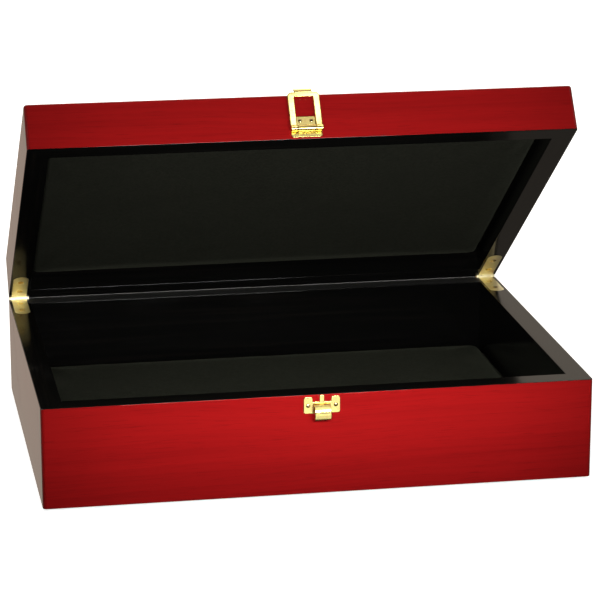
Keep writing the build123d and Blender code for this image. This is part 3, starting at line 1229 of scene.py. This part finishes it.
    def coat(self, spot: Vector, normal: Vector) -> Coat:
        """Choose a face's finish: red outside, satin grey on the base's rear rim as painted light
        from the gap under the lid, black elsewhere.
        """
        outward = max(normal.x * math.copysign(1, spot.x), normal.y * math.copysign(1, spot.y))
        facing = self.upright_facing if abs(normal.z) < self.upright else self.arris_facing
        if self.inset(spot) < self.corner and outward > facing:
            return Coat.RED
        # The base's rear rim gets the grey painted light.
        if spot.y > CASE.depth / 2 - CASE.wall and normal.z > self.arris_facing:
            return Coat.DULL_EDGE
        return Coat.BLACK

    def grained(self, mesh: Mesh, side: Side | None) -> Mesh:
        """Store which way the grain runs, where each point lies on its board for the painted shade,
        and which finish each face has.

        Args:
            mesh: a board, as it lies with the lid shut.
            side: the wall's side, or None for a flat board.

        Returns:
            The same mesh.
        """
        mesh.attributes.new(GRAIN, "FLOAT_VECTOR", "CORNER")
        mesh.attributes.new(BOARD, "FLOAT_VECTOR", "CORNER")
        values: list[float] = []
        places: list[float] = []
        low, high = self.painted_shade_span
        half_shift, end_shift, side_shift = self.grain_turns
        shift = 0.0 if self.half is Half.BASE else half_shift
        for face in mesh.polygons:
            normal, middle = face.normal, face.center
            ends = side in (Side.LEFT, Side.RIGHT)
            if side is None and abs(normal.z) < self.flat_facing:
                ends = abs(normal.x) > abs(normal.y)
            flat = abs(normal.z) > self.flat_facing
            turn = end_shift if ends else 0.0
            turn += side_shift if (middle.x if ends else middle.y) > 0 else 0.0
            face.material_index = self.coat(middle, normal)
            for corner in face.loop_indices:
                x, y, z = mesh.vertices[mesh.loops[corner].vertex_index].co
                along, across = (y, x) if ends else (x, y)
                rise, depth = (across, z) if flat else (z, across)
                values += [along + shift + turn, rise, depth]
                # Where the point lies along and up its board, which sets where the painted shade
                # falls.
                reach = CASE.depth / 2 if ends else CASE.width / 2
                up = 1.0 if flat else (z - low) / (high - low)
                places += [0.0 if flat else along / reach, up, 0.0]
        mesh.attributes[GRAIN].data.foreach_set("vector", values)
        mesh.attributes[BOARD].data.foreach_set("vector", places)
        return mesh

    def build(self) -> None:
        """Make and dress the four walls."""
        ring = self.swept(self.profile(), True)
        cutters = self.mortises()
        finishes = (Finishes.rosewood, Finishes.black, Finishes.fibreboard, Finishes.satin_black_painted_light)
        for side in Side:
            wall = self.carved(self.mitred(ring, side), cutters)
            name = side.name.lower()
            dress = Dress(f"{self.half.value}_{name}_board", self.half.value, "rosewood_lacquer",
                          finishes, (f"{self.half.value}_{name}_wall",))
            dress.put_on(self.grained(wall, side), PLACED[self.half])
        for cutter in cutters:
            bpy.data.objects.remove(cutter)


@dataclass(frozen=True)
class BaseHalf(WoodenHalf):
    """The tray: walls with a rabbet for the bottom board, and felt under it."""

    half: Half = Half.BASE
    rim: float = CASE.base_rim
    far: float = CASE.base_foot
    foot_arris: float = 0.4 * MM
    foot_facing: float = 0.8
    felt_step: float = 3.0
    felt_trim: float = 0.5
    felt_inset: float = 3.0
    felt_wave: float = 0.25

    def profile(self) -> list[Point]:
        """Give the section of a wall with its rabbet."""
        foot = arc((self.foot_arris, self.far + self.foot_arris), self.foot_arris, 270.0, 180.0,
                   self.arris_steps)
        rabbet = [(CASE.wall, CASE.base_board), (CASE.board_lap, CASE.base_board),
                  (CASE.board_lap, self.far)]
        return foot + self.rim_profile() + rabbet

    def coat(self, spot: Vector, normal: Vector) -> Coat:
        """Choose a face's finish, with bare board under the foot and in the rabbet."""
        rabbet = spot.z < CASE.base_board and self.inset(spot) > self.corner
        if rabbet or normal.z < -self.foot_facing:
            return Coat.BARE
        return super().coat(spot, normal)

    def felt(self) -> None:
        """Lay the felt under the base, with an edge that scissors left a little uneven."""
        x = CASE.width / 2 / MM - self.felt_inset
        y = CASE.depth / 2 / MM - self.felt_inset
        outline = []
        corners = rounded_box((-x, -y), (x, y), 2.0)
        for (x0, y0), (x1, y1) in zip(corners, corners[1:] + corners[:1]):
            steps = max(1, round(math.hypot(x1 - x0, y1 - y0) / self.felt_step))
            for k in range(steps):
                px, py = x0 + (x1 - x0) * k / steps, y0 + (y1 - y0) * k / steps
                pull = self.felt_wave * (
                    math.sin(px * 0.21 + py * 0.13) + 0.6 * math.sin(px * 0.53 - py * 0.41))
                trim = (self.felt_trim + pull) / math.hypot(px, py)
                outline.append((px - px * trim, py - py * trim))
        low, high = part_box("base_felt")
        plate = Plate((outline,), low.z / MM, high.z / MM, 0.25, 2)
        Dress("felt_underside", "base", "underside_felt", (Finishes.felt,),
              ("base_felt",)).put_on(plate.mesh(Matrix.Identity(4)))

    def build(self) -> None:
        """Make the walls, the felt and the bottom board."""
        super().build()
        self.felt()
        repaint("base_bottom_board", Finishes.fibreboard)


@dataclass(frozen=True)
class LidHalf(WoodenHalf):
    """The lid: shallow walls under a top board with a soft arris."""

    half: Half = Half.LID
    rim: float = CASE.lid_rim
    far: float = CASE.lid_ceiling
    top_arris: float = 1.2 * MM
    top_steps: int = 6
    ceiling_facing: float = 0.5
    painted_shade_drop: float = 4.0

    @property
    def painted_shade_span(self) -> tuple[float, float]:
        """Give the span for the painted shade, which barely reaches the lid."""
        return self.rim - self.painted_shade_drop * (CASE.lid_top - self.rim), CASE.lid_top

    def profile(self) -> list[Point]:
        """Give the section of a wall."""
        return [(0.0, self.far), *self.rim_profile(), (CASE.wall, self.far)]

    def coat(self, spot: Vector, normal: Vector) -> Coat:
        """Choose a face's finish, with red lacquer all over the top board."""
        if spot.z > self.far - NEAR and normal.z > -self.ceiling_facing:
            return Coat.RED
        return super().coat(spot, normal)

    def top_board(self) -> None:
        """Make the top board."""
        edge = arc((self.top_arris, CASE.lid_top - self.top_arris), self.top_arris, 180.0, 90.0,
                   self.top_steps)
        slab = self.swept([(0.0, self.far), *edge], False)
        Dress("lid_top_panel", "lid", "rosewood_lacquer",
              (Finishes.rosewood, Finishes.black, Finishes.fibreboard),
              ("lid_top_board",)).put_on(self.grained(slab, None), PLACED[self.half])

    def build(self) -> None:
        """Make the walls and the top board."""
        super().build()
        self.top_board()


# ---- Linings


VELOUR_CLOTH = {
    "quality": 5, "mass": 0.2, "tension_stiffness": 25.0, "compression_stiffness": 25.0,
    "shear_stiffness": 12.0, "bending_stiffness": 2.0, "use_pressure": True,
    "uniform_pressure_force": 4.0, "vertex_group_mass": "tucked"}


@dataclass(frozen=True)
class Lining:
    """A padded velour panel that lies on a board: foam under cloth that is stretched and tucked."""

    name: str
    half: Half
    nodes: tuple[str, str, str]
    slack: float = 0.6
    round: float = 2.6
    corner: float = 0.2
    voxel: float = 3.0 * MM
    frames: int = 20
    swell: float = 1.0 * MM
    roll: float = 13.0 * MM
    tucked_share: float = 0.02
    crown: float = 0.55
    foam_inset: float = 2.2
    wave: float = 0.09 * MM
    crease: float = 0.25 * MM

    @property
    def up(self) -> float:
        """Give +1 where the panel faces up with the lid shut, and -1 where it faces down."""
        return 1.0 if self.half is Half.BASE else -1.0

    def slab(self, low: Vector, high: Vector, inset: float, radius: float) -> Mesh:
        """Make a rounded slab inside a box.

        Args:
            low: lowest corner of the box, in metres.
            high: highest corner of the box.
            inset: room left round the slab and over it, in millimetres.
            radius: of the rounded edges.

        Returns:
            A closed mesh.
        """
        outline = rounded_box((low.x / MM + inset, low.y / MM + inset),
                              (high.x / MM - inset, high.y / MM - inset),
                              radius + self.corner, 5)
        z0, z1 = low.z / MM, high.z / MM
        depth = (z0, z1 - inset) if self.up > 0 else (z0 + inset, z1)
        return Plate((outline,), *depth, min(radius, (depth[1] - depth[0]) / 2.2), 5).mesh(
            Matrix.Identity(4))

    def remeshed(self, mesh: Mesh) -> Mesh:
        """Give the slab an even net of faces."""

        def voxels(holder: Item) -> None:
            """Add the remesh."""
            remesh = holder.modifiers.new("net", "REMESH")
            remesh.mode = "VOXEL"
            remesh.voxel_size = self.voxel

        return settle(mesh, voxels)

    def free(self, spot: Vector, low: Vector, high: Vector) -> float:
        """Say how freely a point of the cloth may swell.

        Args:
            spot: the point.
            low: lowest corner of the space for the panel.
            high: highest corner of the space.

        Returns:
            A share, from 0 on the back and at the tucked edges to 1 in the open.
        """
        edge = min(spot.x - low.x, high.x - spot.x, spot.y - low.y, high.y - spot.y)
        depth = spot.z - low.z if self.up > 0 else high.z - spot.z
        if depth <= self.crown * (high.z - low.z):
            return 0.0
        share = max(0.0, min(1.0, edge / self.roll))
        return share * share * (3.0 - 2.0 * share)

    def swollen(self, mesh: Mesh, low: Vector, high: Vector) -> Mesh:
        """Blow the cloth up a little, held at its tucked edges.

        Args:
            mesh: the remeshed slab, which is used up.
            low: lowest corner of the space for the panel.
            high: highest corner of the space.

        Returns:
            The swollen mesh.
        """
        holder = bpy.data.objects.new("cloth", mesh)
        scene = bpy.context.scene
        scene.collection.objects.link(holder)
        freedom = [self.free(vertex.co, low, high) for vertex in mesh.vertices]
        pins = holder.vertex_groups.new(name="tucked")
        for index, share in enumerate(freedom):
            pins.add([index], 1.0 if share < self.tucked_share else 0.0, "REPLACE")
        cloth = holder.modifiers.new("cloth", "CLOTH")
        for setting, value in VELOUR_CLOTH.items():
            setattr(cloth.settings, setting, value)
        cloth.settings.effector_weights.gravity = 0.0
        cloth.collision_settings.use_collision = False
        cloth.point_cache.frame_start = 1
        cloth.point_cache.frame_end = self.frames
        for number in range(1, self.frames + 1):
            scene.frame_set(number)
        graph = bpy.context.evaluated_depsgraph_get()
        blown = holder.evaluated_get(graph).to_mesh()
        moves = [after.co - before.co for before, after in zip(mesh.vertices, blown.vertices)]
        for vertex, move, share in zip(mesh.vertices, moves, freedom):
            limit = self.swell * share
            if move.length > limit:
                move = move * (limit / move.length)
            vertex.co += move
        scene.frame_set(1)
        kept = mesh.copy()
        bpy.data.objects.remove(holder)
        bpy.data.meshes.remove(mesh)
        return kept

    def wavy(self, mesh: Mesh, low: Vector, high: Vector) -> Mesh:
        """Let the cloth lie a little unevenly, with small pulls towards its tucked corners.

        Args:
            mesh: the cloth, which is changed.
            low: lowest corner of the space for the panel.
            high: highest corner of the space.

        Returns:
            The same mesh.
        """
        middle = (low + high) / 2
        reach = Vector((high.x - low.x, high.y - low.y)) / 2
        for vertex in mesh.vertices:
            x, y, _ = vertex.co
            share = self.free(vertex.co, low, high)
            wave = math.sin(x * 71.0 + 1.3) * math.sin(y * 63.0 + 0.4)
            wave += 0.5 * math.sin(x * 33.0 - y * 47.0 + 2.1)
            corner = min(1.0, Vector((abs(x - middle.x) / reach.x,
                                      abs(y - middle.y) / reach.y)).length / math.sqrt(2.0))
            pull = math.sin((abs(x - middle.x) - abs(y - middle.y)) * 260.0) * corner ** 8
            vertex.co.z += self.up * share * (self.wave * wave + self.crease * pull)
        return mesh

    def build(self) -> None:
        """Make and dress the cloth, the foam and the card."""
        velour, foam, card = self.nodes
        low, high = shut_box(velour, self.half)
        mesh = self.remeshed(self.slab(low, high, self.slack, self.round))
        mesh = self.swollen(mesh, low, high)
        mesh = self.wavy(mesh, low, high)

        def finer(holder: Item) -> None:
            """Add one subdivision."""
            subdivision = holder.modifiers.new("finer", "SUBSURF")
            subdivision.levels = subdivision.render_levels = 1

        pad = Dress(f"{self.name}_panel", self.half.value, "velour", (Finishes.velour,),
                    (velour,), 80.0).put_on(tidied(settle(mesh, finer)), PLACED[self.half])
        low, high = shut_box(foam, self.half)
        core = self.slab(low, high, self.foam_inset, self.round)
        Dress(f"{self.name}_filling", self.half.value, "lining_foam", (Finishes.foam,),
              (foam,)).put_on(core, PLACED[self.half])
        repaint(card, Finishes.card)


# ---- Brass


@dataclass(frozen=True)
class Hinges:
    """The two hinges: leaves flush in the rims, knuckles on a pin, and countersunk screws."""

    sizes: HingeSizes = HINGE
    arris: float = 0.18
    bore_room: float = 0.05
    hole_room: float = 0.06
    pin_dome: float = 0.3
    screw_sizes: dict[str, float] = field(default_factory=lambda: {
        "Head Radius": 1.7, "Head Depth": 0.8, "Shank Radius": 0.9, "Length": 9.6,
        "Recess Length": 2.1, "Recess Width": 0.5, "Recess Depth": 0.5})
    screw_sunk: float = 0.04

    def knuckle(self, hand: Hand, start: float, end: float) -> Mesh:
        """Make one knuckle.

        Args:
            hand: which hinge.
            start: where it starts along the axis, from the hinge's middle.
            end: where it ends.

        Returns:
            A closed tube.
        """
        size = self.sizes
        centre = (size.axis_y, size.axis_z)
        outlines = (circle(centre, size.barrel_radius),
                    circle(centre, size.pin_radius + self.bore_room))
        x = size.centre(hand)
        return Plate(outlines, x + start, x + end, self.arris).mesh(ALONG_HINGES)

    def spans(self, half: Half) -> list[Point]:
        """Give where a half's knuckles start and end along the axis."""
        middle = self.sizes.lid_knuckle / 2
        end = self.sizes.barrel_length / 2
        if half is Half.LID:
            return [(-middle, middle)]
        inner = middle + self.sizes.knuckle_gap
        return [(-end, -inner), (inner, end)]

    def leaf(self, hand: Hand, half: Half) -> Mesh:
        """Make one leaf with its knuckles, as it lies with the lid shut.

        Args:
            hand: which hinge.
            half: the half that the leaf is screwed to.

        Returns:
            The sheet and its knuckles.
        """
        size = self.sizes
        x, width = size.centre(hand), size.leaf_width / 2
        clear = size.axis_y - size.barrel_radius - size.knuckle_room
        middle = size.lid_knuckle / 2 + size.knuckle_gap
        tip = arc((x, size.axis_y - size.leaf_length + width), width, 180.0, 360.0, 24)
        if half is Half.BASE:
            back = [(width, size.axis_y), (middle, size.axis_y), (middle, clear),
                    (-middle, clear), (-middle, size.axis_y), (-width, size.axis_y)]
        else:
            middle = size.lid_knuckle / 2
            back = [(width, clear), (middle, clear), (middle, size.axis_y),
                    (-middle, size.axis_y), (-middle, clear), (-width, clear)]
        outline = tip + [(x + a, b) for a, b in back]
        holes = [circle((x, size.axis_y - reach), size.screw_head + self.hole_room)
                 for reach in size.screw_spacing]
        rim = size.rim(half)
        low, high = ((rim - size.leaf_thickness, rim) if half is Half.BASE
                     else (rim, rim + size.leaf_thickness))
        sheet = Plate((outline, *holes), low, high, self.arris).mesh(Matrix.Identity(4))
        knuckles = [self.knuckle(hand, *span) for span in self.spans(half)]
        return merged(sheet, *knuckles)

    def pin(self, hand: Hand) -> Mesh:
        """Make the pin, with its ends peened into small domes."""
        size = self.sizes
        x, half_length = size.centre(hand), size.barrel_length / 2
        return Plate((circle((size.axis_y, size.axis_z), size.pin_radius),), x - half_length,
                     x + half_length, self.pin_dome).mesh(ALONG_HINGES)

    def screws(self, half: Half) -> None:
        """Set the four screws of a half, with heads a hair under the leaf."""
        size = self.sizes
        up = 1.0 if half is Half.BASE else -1.0
        places = tuple((size.centre(hand), up * (size.axis_y - reach))
                       for hand in Hand for reach in size.screw_spacing)
        height = size.rim(half) * MM - up * self.screw_sunk * MM
        plane = axes((0, 0, height), (1, 0, 0), (0, up, 0))
        fasteners = Fasteners(Trees.screws, self.screw_sizes, places, lean=0.0, seed=7)
        mesh = fasteners.mesh(plane, Finishes.turned_brass)
        nodes = tuple(f"hinge_{hand.value}_{half.value}_screws" for hand in Hand)
        Dress(f"{half.value}_hinge_screws", half.value, "brass_fasteners",
              (Finishes.turned_brass,), nodes, 30.0).put_on(mesh, PLACED[half])

    def build(self) -> None:
        """Make and dress both hinges."""
        for hand in Hand:
            for half in Half:
                node = f"hinge_{hand.value}_{half.value}_leaf"
                Dress(f"{hand.value}_hinge_{half.value}_side", half.value, "hinge_brass",
                      (Finishes.hinge_brass,), (node,)).put_on(
                          self.leaf(hand, half), PLACED[half])
            Dress(f"{hand.value}_hinge_axle", "base", "brass_fasteners",
                  (Finishes.turned_brass,), (f"hinge_{hand.value}_pin",)).put_on(self.pin(hand))
        for half in Half:
            self.screws(half)


@dataclass(frozen=True)
class FrontPlane:
    """A front face, drawn in millimetres across, up from the parting line or rim, and outward."""

    half: Half
    parting: float

    def face(self) -> Matrix:
        """Local X across, local Y up and local Z out of the box."""
        return axes((0, -CASE.depth / 2, self.parting), (1, 0, 0), (0, 0, 1))

    def section(self) -> Matrix:
        """Local X out of the box, local Y up and local Z across."""
        return axes((0, -CASE.depth / 2, self.parting), (0, -1, 0), (0, 0, 1))


LID_FRONT = FrontPlane(Half.LID, TURN.point.z)
BASE_FRONT = FrontPlane(Half.BASE, CASE.base_rim)
NAIL_LEAN = 2.5
NAIL_SIZES = {"Head Radius": 1.1, "Head Height": 0.5, "Shank Radius": 0.5, "Shank Length": 6.5}


def bent_strip(centre: Point, outer: float, inner: float, start: float, end: float,
               tail: float = 0.0) -> list[Point]:
    """Outline of a curled strip's section.

    Args:
        centre: middle of the curl.
        outer: outer radius.
        inner: inner radius.
        start: first angle, in degrees.
        end: last angle.
        tail: straight length that runs on below the first angle.

    Returns:
        The outline.
    """
    far, near = arc(centre, outer, start, end, 18), arc(centre, inner, end, start, 18)
    if tail:
        slim = 0.02
        far = [(far[0][0] - slim, far[0][1] - tail), *far]
        near = [*near, (near[-1][0] + slim, near[-1][1] - tail)]
    return far + near


@dataclass(frozen=True)
class Hasp:
    """The hasp on the lid: a nailed plate, a pin, and a stamped loop with a curled lip."""

    sheet: float = 0.8
    plate_half: float = 7.8
    plate_span: Point = (0.8, 12.0)
    plate_corner: float = 1.0
    pivot: Point = (2.6, 5.0)
    barrel: float = 1.6
    pin: float = 0.6
    bore: float = 0.66
    knuckle_half: float = 4.6
    knuckle_arris: float = 0.22
    loop_half: float = 8.2
    window_half: float = 4.8
    bar: Point = (22.5, 25.0)
    loop_back: float = 1.1
    loop_sheet: float = 1.2
    loop_arris: float = 0.5
    loop_corner: float = 2.4
    window_corner: float = 0.9
    lip_half: float = 4.5
    lip_radius: float = 2.0
    lip_arc: float = 75.0
    nails: tuple[Point, ...] = ((-2.9, 9.8), (2.9, 9.8))

    def nailed_plate(self) -> Mesh:
        """Make the plate, with a tongue rolled round the middle of the pin."""
        low, high = self.plate_span
        outline = rounded_box((-self.plate_half, low), (self.plate_half, high), self.plate_corner)
        plate = Plate((outline,), 0.0, self.sheet, 0.22).mesh(LID_FRONT.face())
        roll = Plate((circle(self.pivot, self.barrel), circle(self.pivot, self.bore)),
                     -self.knuckle_half, self.knuckle_half, self.knuckle_arris)
        foot = self.pivot[1] - self.barrel
        tongue = Plate(([(0.1, foot), (self.pivot[0], foot), (self.pivot[0], foot + self.sheet),
                         (0.1, foot + self.sheet)],),
                       -self.knuckle_half + 0.05, self.knuckle_half - 0.05, 0.05, 1)
        section = LID_FRONT.section()
        return merged(plate, roll.mesh(section), tongue.mesh(section))

    def loop(self) -> Mesh:
        """Make the loop, as it stands folded up against the lid."""
        window, outer = self.window_half, self.loop_half
        foot, top = self.pivot[1], self.bar[1]
        outline = filleted([
            (-outer, foot, 0), (-window, foot, 0), (-window, self.bar[0], self.window_corner),
            (window, self.bar[0], self.window_corner), (window, foot, 0), (outer, foot, 0),
            (outer, top, self.loop_corner), (-outer, top, self.loop_corner)], 8)
        front = self.loop_back + self.loop_sheet
        frame_part = Plate((outline,), self.loop_back, front, self.loop_arris, 4).mesh(
            LID_FRONT.face())
        section = LID_FRONT.section()
        middle = (self.loop_back + self.loop_sheet / 2 - self.lip_radius, top)
        curl = bent_strip(middle, self.lip_radius + self.loop_sheet / 2,
                          self.lip_radius - self.loop_sheet / 2, 0.0, self.lip_arc, 1.2)
        lip = Plate((curl,), -self.lip_half, self.lip_half, 0.4).mesh(section)
        ends = [Plate((circle(self.pivot, self.barrel), circle(self.pivot, self.bore)),
                      low, high, 0.35).mesh(section)
                for low, high in ((window, outer), (-outer, -window))]
        return merged(frame_part, lip, *ends)

    def build(self) -> None:
        """Make and dress the hasp."""
        opened = PLACED[Half.LID]
        brass, turned = (Finishes.sheet_brass,), (Finishes.turned_brass,)
        Dress("hasp_backplate", "lid", "polished_brass", brass, ("hasp_plate",)).put_on(
            self.nailed_plate(), opened)
        Dress("hasp_ring", "hasp", "polished_brass", brass, ("hasp_loop",), 40.0).put_on(
            self.loop(), opened)
        axle = Plate((circle(self.pivot, self.pin),), -self.loop_half, self.loop_half, 0.25)
        Dress("hasp_axle", "lid", "brass_fasteners", turned, ("hasp_pin",)).put_on(
            axle.mesh(LID_FRONT.section()), opened)
        plane = LID_FRONT.face() @ Matrix.Translation((0, 0, self.sheet * MM))
        nails = Fasteners(Trees.nails, NAIL_SIZES, self.nails, NAIL_LEAN, seed=3)
        Dress("hasp_dome_nails", "lid", "brass_fasteners", turned, ("hasp_nails",)).put_on(
            nails.mesh(plane, *turned), opened)


@dataclass(frozen=True)
class Catch:
    """The catch on the base: an eared plate and a curled hook that takes the hasp's loop."""

    sheet: float = 0.8
    half_width: float = 9.25
    top: float = -1.0
    bottom: float = -9.6
    tip_half: float = 1.2
    tip_top: float = -0.2
    notch_half: float = 4.7
    notch_bottom: float = -3.6
    corner: float = 1.0
    hook_half: float = 4.2
    hook_centre: Point = (0.2, -9.2)
    hook_radius: float = 4.9
    hook_sheet: float = 0.9
    hook_start: float = 85.0
    hook_end: float = -35.0
    nails: tuple[Point, ...] = ((-7.0, -5.4), (7.0, -5.4))

    def eared_plate(self) -> Mesh:
        """Make the plate and its hook."""
        right = [(self.half_width, self.bottom, self.corner), (self.half_width, self.top,
                 self.corner), (self.notch_half, self.top, self.corner),
                 (self.notch_half, self.notch_bottom, 0.3), (self.tip_half, self.notch_bottom, 0.3),
                 (self.tip_half, self.tip_top, 0.4)]
        left = [(-x, y, r) for x, y, r in reversed(right)]
        plate = Plate((filleted(right + left),), 0.0, self.sheet, 0.22).mesh(BASE_FRONT.face())
        curl = bent_strip(self.hook_centre, self.hook_radius, self.hook_radius - self.hook_sheet,
                          self.hook_start, self.hook_end)
        hook = Plate((curl,), -self.hook_half, self.hook_half, 0.3).mesh(BASE_FRONT.section())
        return merged(plate, hook)

    def build(self) -> None:
        """Make and dress the catch."""
        Dress("catch_hook", "base", "polished_brass", (Finishes.sheet_brass,),
              ("catch_plate",)).put_on(self.eared_plate())
        plane = BASE_FRONT.face() @ Matrix.Translation((0, 0, self.sheet * MM))
        mesh = Fasteners(Trees.nails, NAIL_SIZES, self.nails, NAIL_LEAN, seed=5).mesh(
            plane, Finishes.turned_brass)
        Dress("catch_dome_nails", "base", "brass_fasteners", (Finishes.turned_brass,),
              ("catch_nails",)).put_on(mesh)


# ---- Studio


@dataclass(frozen=True)
class SoftBox:
    """A rectangular lamp that faces a point, and lights all or only the named pieces."""

    name: str
    place: tuple[float, float, float]
    size: Point
    power: float
    colour: Colour = (1.0, 1.0, 1.0)
    aim: tuple[float, float, float] = (0.0, 0.0, 0.06)
    only: tuple[str, ...] = ()

    def build(self) -> None:
        """Hang the lamp."""
        lamp = bpy.data.lights.new(self.name, "AREA")
        lamp.shape = "RECTANGLE"
        lamp.size, lamp.size_y = self.size
        lamp.energy = self.power
        lamp.color = self.colour
        holder = bpy.data.objects.new(self.name, lamp)
        holder.location = self.place
        towards = Vector(self.aim) - Vector(self.place)
        holder.rotation_euler = towards.to_track_quat("-Z", "Y").to_euler()
        holder.visible_camera = False
        bpy.context.scene.collection.objects.link(holder)
        if self.only:
            lit = bpy.data.collections.new(f"{self.name}_lights")
            for name in self.only:
                lit.objects.link(bpy.data.objects[name])
            holder.light_linking.receiver_collection = lit


@dataclass(frozen=True)
class Studio:
    """A white floor and surround, soft lamps and the camera."""

    floor_size: float = 12.0
    floor_height: float = -0.3 * MM
    floor_white: Colour = (0.80, 0.80, 0.80)
    floor_glow: float = 0.82
    surround: float = 1.0
    warm_white: Colour = (1.12, 0.97, 0.80)
    front_dark: float = 0.10
    front_fade: Point = (-0.35, 0.45)
    below: float = 0.11
    level: float = 0.38
    floor_fade: Point = (-0.70, -0.28)
    above: float = 0.42
    ceiling_fade: Point = (0.35, 0.95)
    azimuth: float = -10.23
    elevation: float = 15.62
    aim: tuple[float, float] = (0.0265, 0.2616)
    distance: float = 5.15
    lens: float = 162.73
    lamps: tuple[SoftBox, ...] = (
        SoftBox("front_strip", (0.008, -0.30, 0.148), (0.17, 0.05), 0.72, aim=(0.01, -0.1, 0.07)),
        SoftBox("left_box", (-1.2, -0.5, 0.8), (0.3, 0.7), 1.1),
        SoftBox("right_box", (1.2, -0.5, 0.8), (0.3, 0.7), 1.1),
        SoftBox("overhead_box", (0.0, 0.35, 1.6), (1.4, 1.0), 1.0),
        SoftBox("rear_box", (0.0, 1.3, 1.25), (1.2, 0.5), 9.0),
        SoftBox("catch_card", (0.012, -0.171, 0.029), (0.040, 0.026), 0.0042,
                aim=(0.0, -0.105, 0.048), only=("catch_hook", "catch_dome_nails")),
        SoftBox("hook_card", (0.005, -0.150, 0.115), (0.070, 0.070), 0.016,
                aim=(0.0, -0.106, 0.047), only=("catch_hook",)),
        SoftBox("hook_low_card", (0.010, -0.140, 0.006), (0.050, 0.050), 0.007,
                aim=(0.0, -0.108, 0.044), only=("catch_hook",)),
        SoftBox("hasp_card", (0.012, -0.0895, 0.2495), (0.032, 0.018), 0.0072,
                aim=(0.0, -0.0525, 0.1905), only=("hasp_ring",)),
        SoftBox("plate_card", (0.012, -0.0935, 0.2420), (0.032, 0.020), 0.0016,
                aim=(0.0, -0.0560, 0.1840), only=("hasp_backplate",)),
        SoftBox("hinge_card", (0.0, -0.32, 0.17), (0.16, 0.06), 0.95, aim=(0.0, 0.09, 0.053),
                only=("left_hinge_base_side", "left_hinge_lid_side", "left_hinge_axle",
                      "right_hinge_base_side", "right_hinge_lid_side", "right_hinge_axle")),
    )

    def floor(self) -> None:
        """Lay the floor, just under the box."""
        reach = self.floor_size / 2
        mesh = bpy.data.meshes.new("floor")
        corners = [(x * reach, y * reach, self.floor_height)
                   for x, y in ((-1, -1), (1, -1), (1, 1), (-1, 1))]
        mesh.from_pydata(corners, [], [(0, 1, 2, 3)])
        material = bpy.data.materials.new("studio_floor")
        material.use_nodes = True
        surface = material.node_tree.nodes["Principled BSDF"]
        for name, value in (
                ("Base Color", rgba(self.floor_white)), ("Roughness", 0.9),
                ("Specular IOR Level", 0.1), ("Emission Color", rgba((1.0, 1.0, 1.0))),
                ("Emission Strength", self.floor_glow)):
            surface.inputs[name].default_value = value
        mesh.materials.append(material)
        floor = bpy.data.objects.new("floor", mesh)
        bpy.context.scene.collection.objects.link(floor)
        floor.visible_glossy = False
        floor.visible_diffuse = False

    def world(self) -> None:
        """Surround the box with a warm white that is dark towards the front and the floor."""
        world = bpy.data.worlds.new("studio")
        world.use_nodes = True
        bpy.context.scene.world = world
        graph = Graph(world.node_tree)
        back = world.node_tree.nodes["Background"]
        way = graph.add("ShaderNodeTexCoord").outputs["Generated"]
        part = graph.add("ShaderNodeSeparateXYZ", {0: way}).outputs
        rear = graph.span(part[1], *self.front_fade, self.front_dark, 1.0)
        low = graph.span(part[2], *self.floor_fade, self.below, self.level)
        high = graph.span(part[2], *self.ceiling_fade, 0.0, self.above)
        ramp = graph.times(rear, graph.plus(low, high))
        seen = graph.add("ShaderNodeLightPath").outputs["Is Camera Ray"]
        strength = graph.add("ShaderNodeMix", {0: seen, 2: ramp, 3: self.surround},
                             data_type="FLOAT")
        tint = graph.blend(seen, rgba(self.warm_white), rgba((1.0, 1.0, 1.0)))
        graph.feed(back.inputs["Color"], tint)
        graph.feed(back.inputs["Strength"], strength.outputs[0])

    def camera(self) -> None:
        """Stand the camera at a three-quarter view from the front."""
        camera = bpy.data.cameras.new("camera")
        camera.sensor_width = 36.0
        camera.lens = self.lens
        camera.clip_end = 50.0
        around, above = math.radians(self.azimuth), math.radians(self.elevation)
        aim = Vector((self.aim[0] * CASE.width, 0.0, self.aim[1] * CASE.width))
        away = Vector((math.sin(around) * math.cos(above), -math.cos(around) * math.cos(above),
                       math.sin(above)))
        holder = bpy.data.objects.new("camera", camera)
        holder.location = aim + away * self.distance * CASE.width
        holder.rotation_euler = (-away).to_track_quat("-Z", "Y").to_euler()
        bpy.context.scene.collection.objects.link(holder)
        bpy.context.scene.camera = holder

    def build(self) -> None:
        """Set up the studio."""
        self.floor()
        self.world()
        for lamp in self.lamps:
            lamp.build()
        self.camera()
        settings = bpy.context.scene.view_settings
        settings.view_transform = "Standard"
        settings.look = "None"


def main() -> None:
    """Build the box and its studio in order."""
    logging.basicConfig(level=logging.INFO, format="%(name)s: %(message)s")
    BaseHalf().build()
    LidHalf().build()
    Lining("floor", Half.BASE, ("floor_velour", "floor_foam", "floor_card")).build()
    Lining("lid", Half.LID, ("lid_velour", "lid_foam", "lid_card")).build()
    Hinges().build()
    Hasp().build()
    Catch().build()
    Studio().build()


if __name__ == "__main__":
    main()
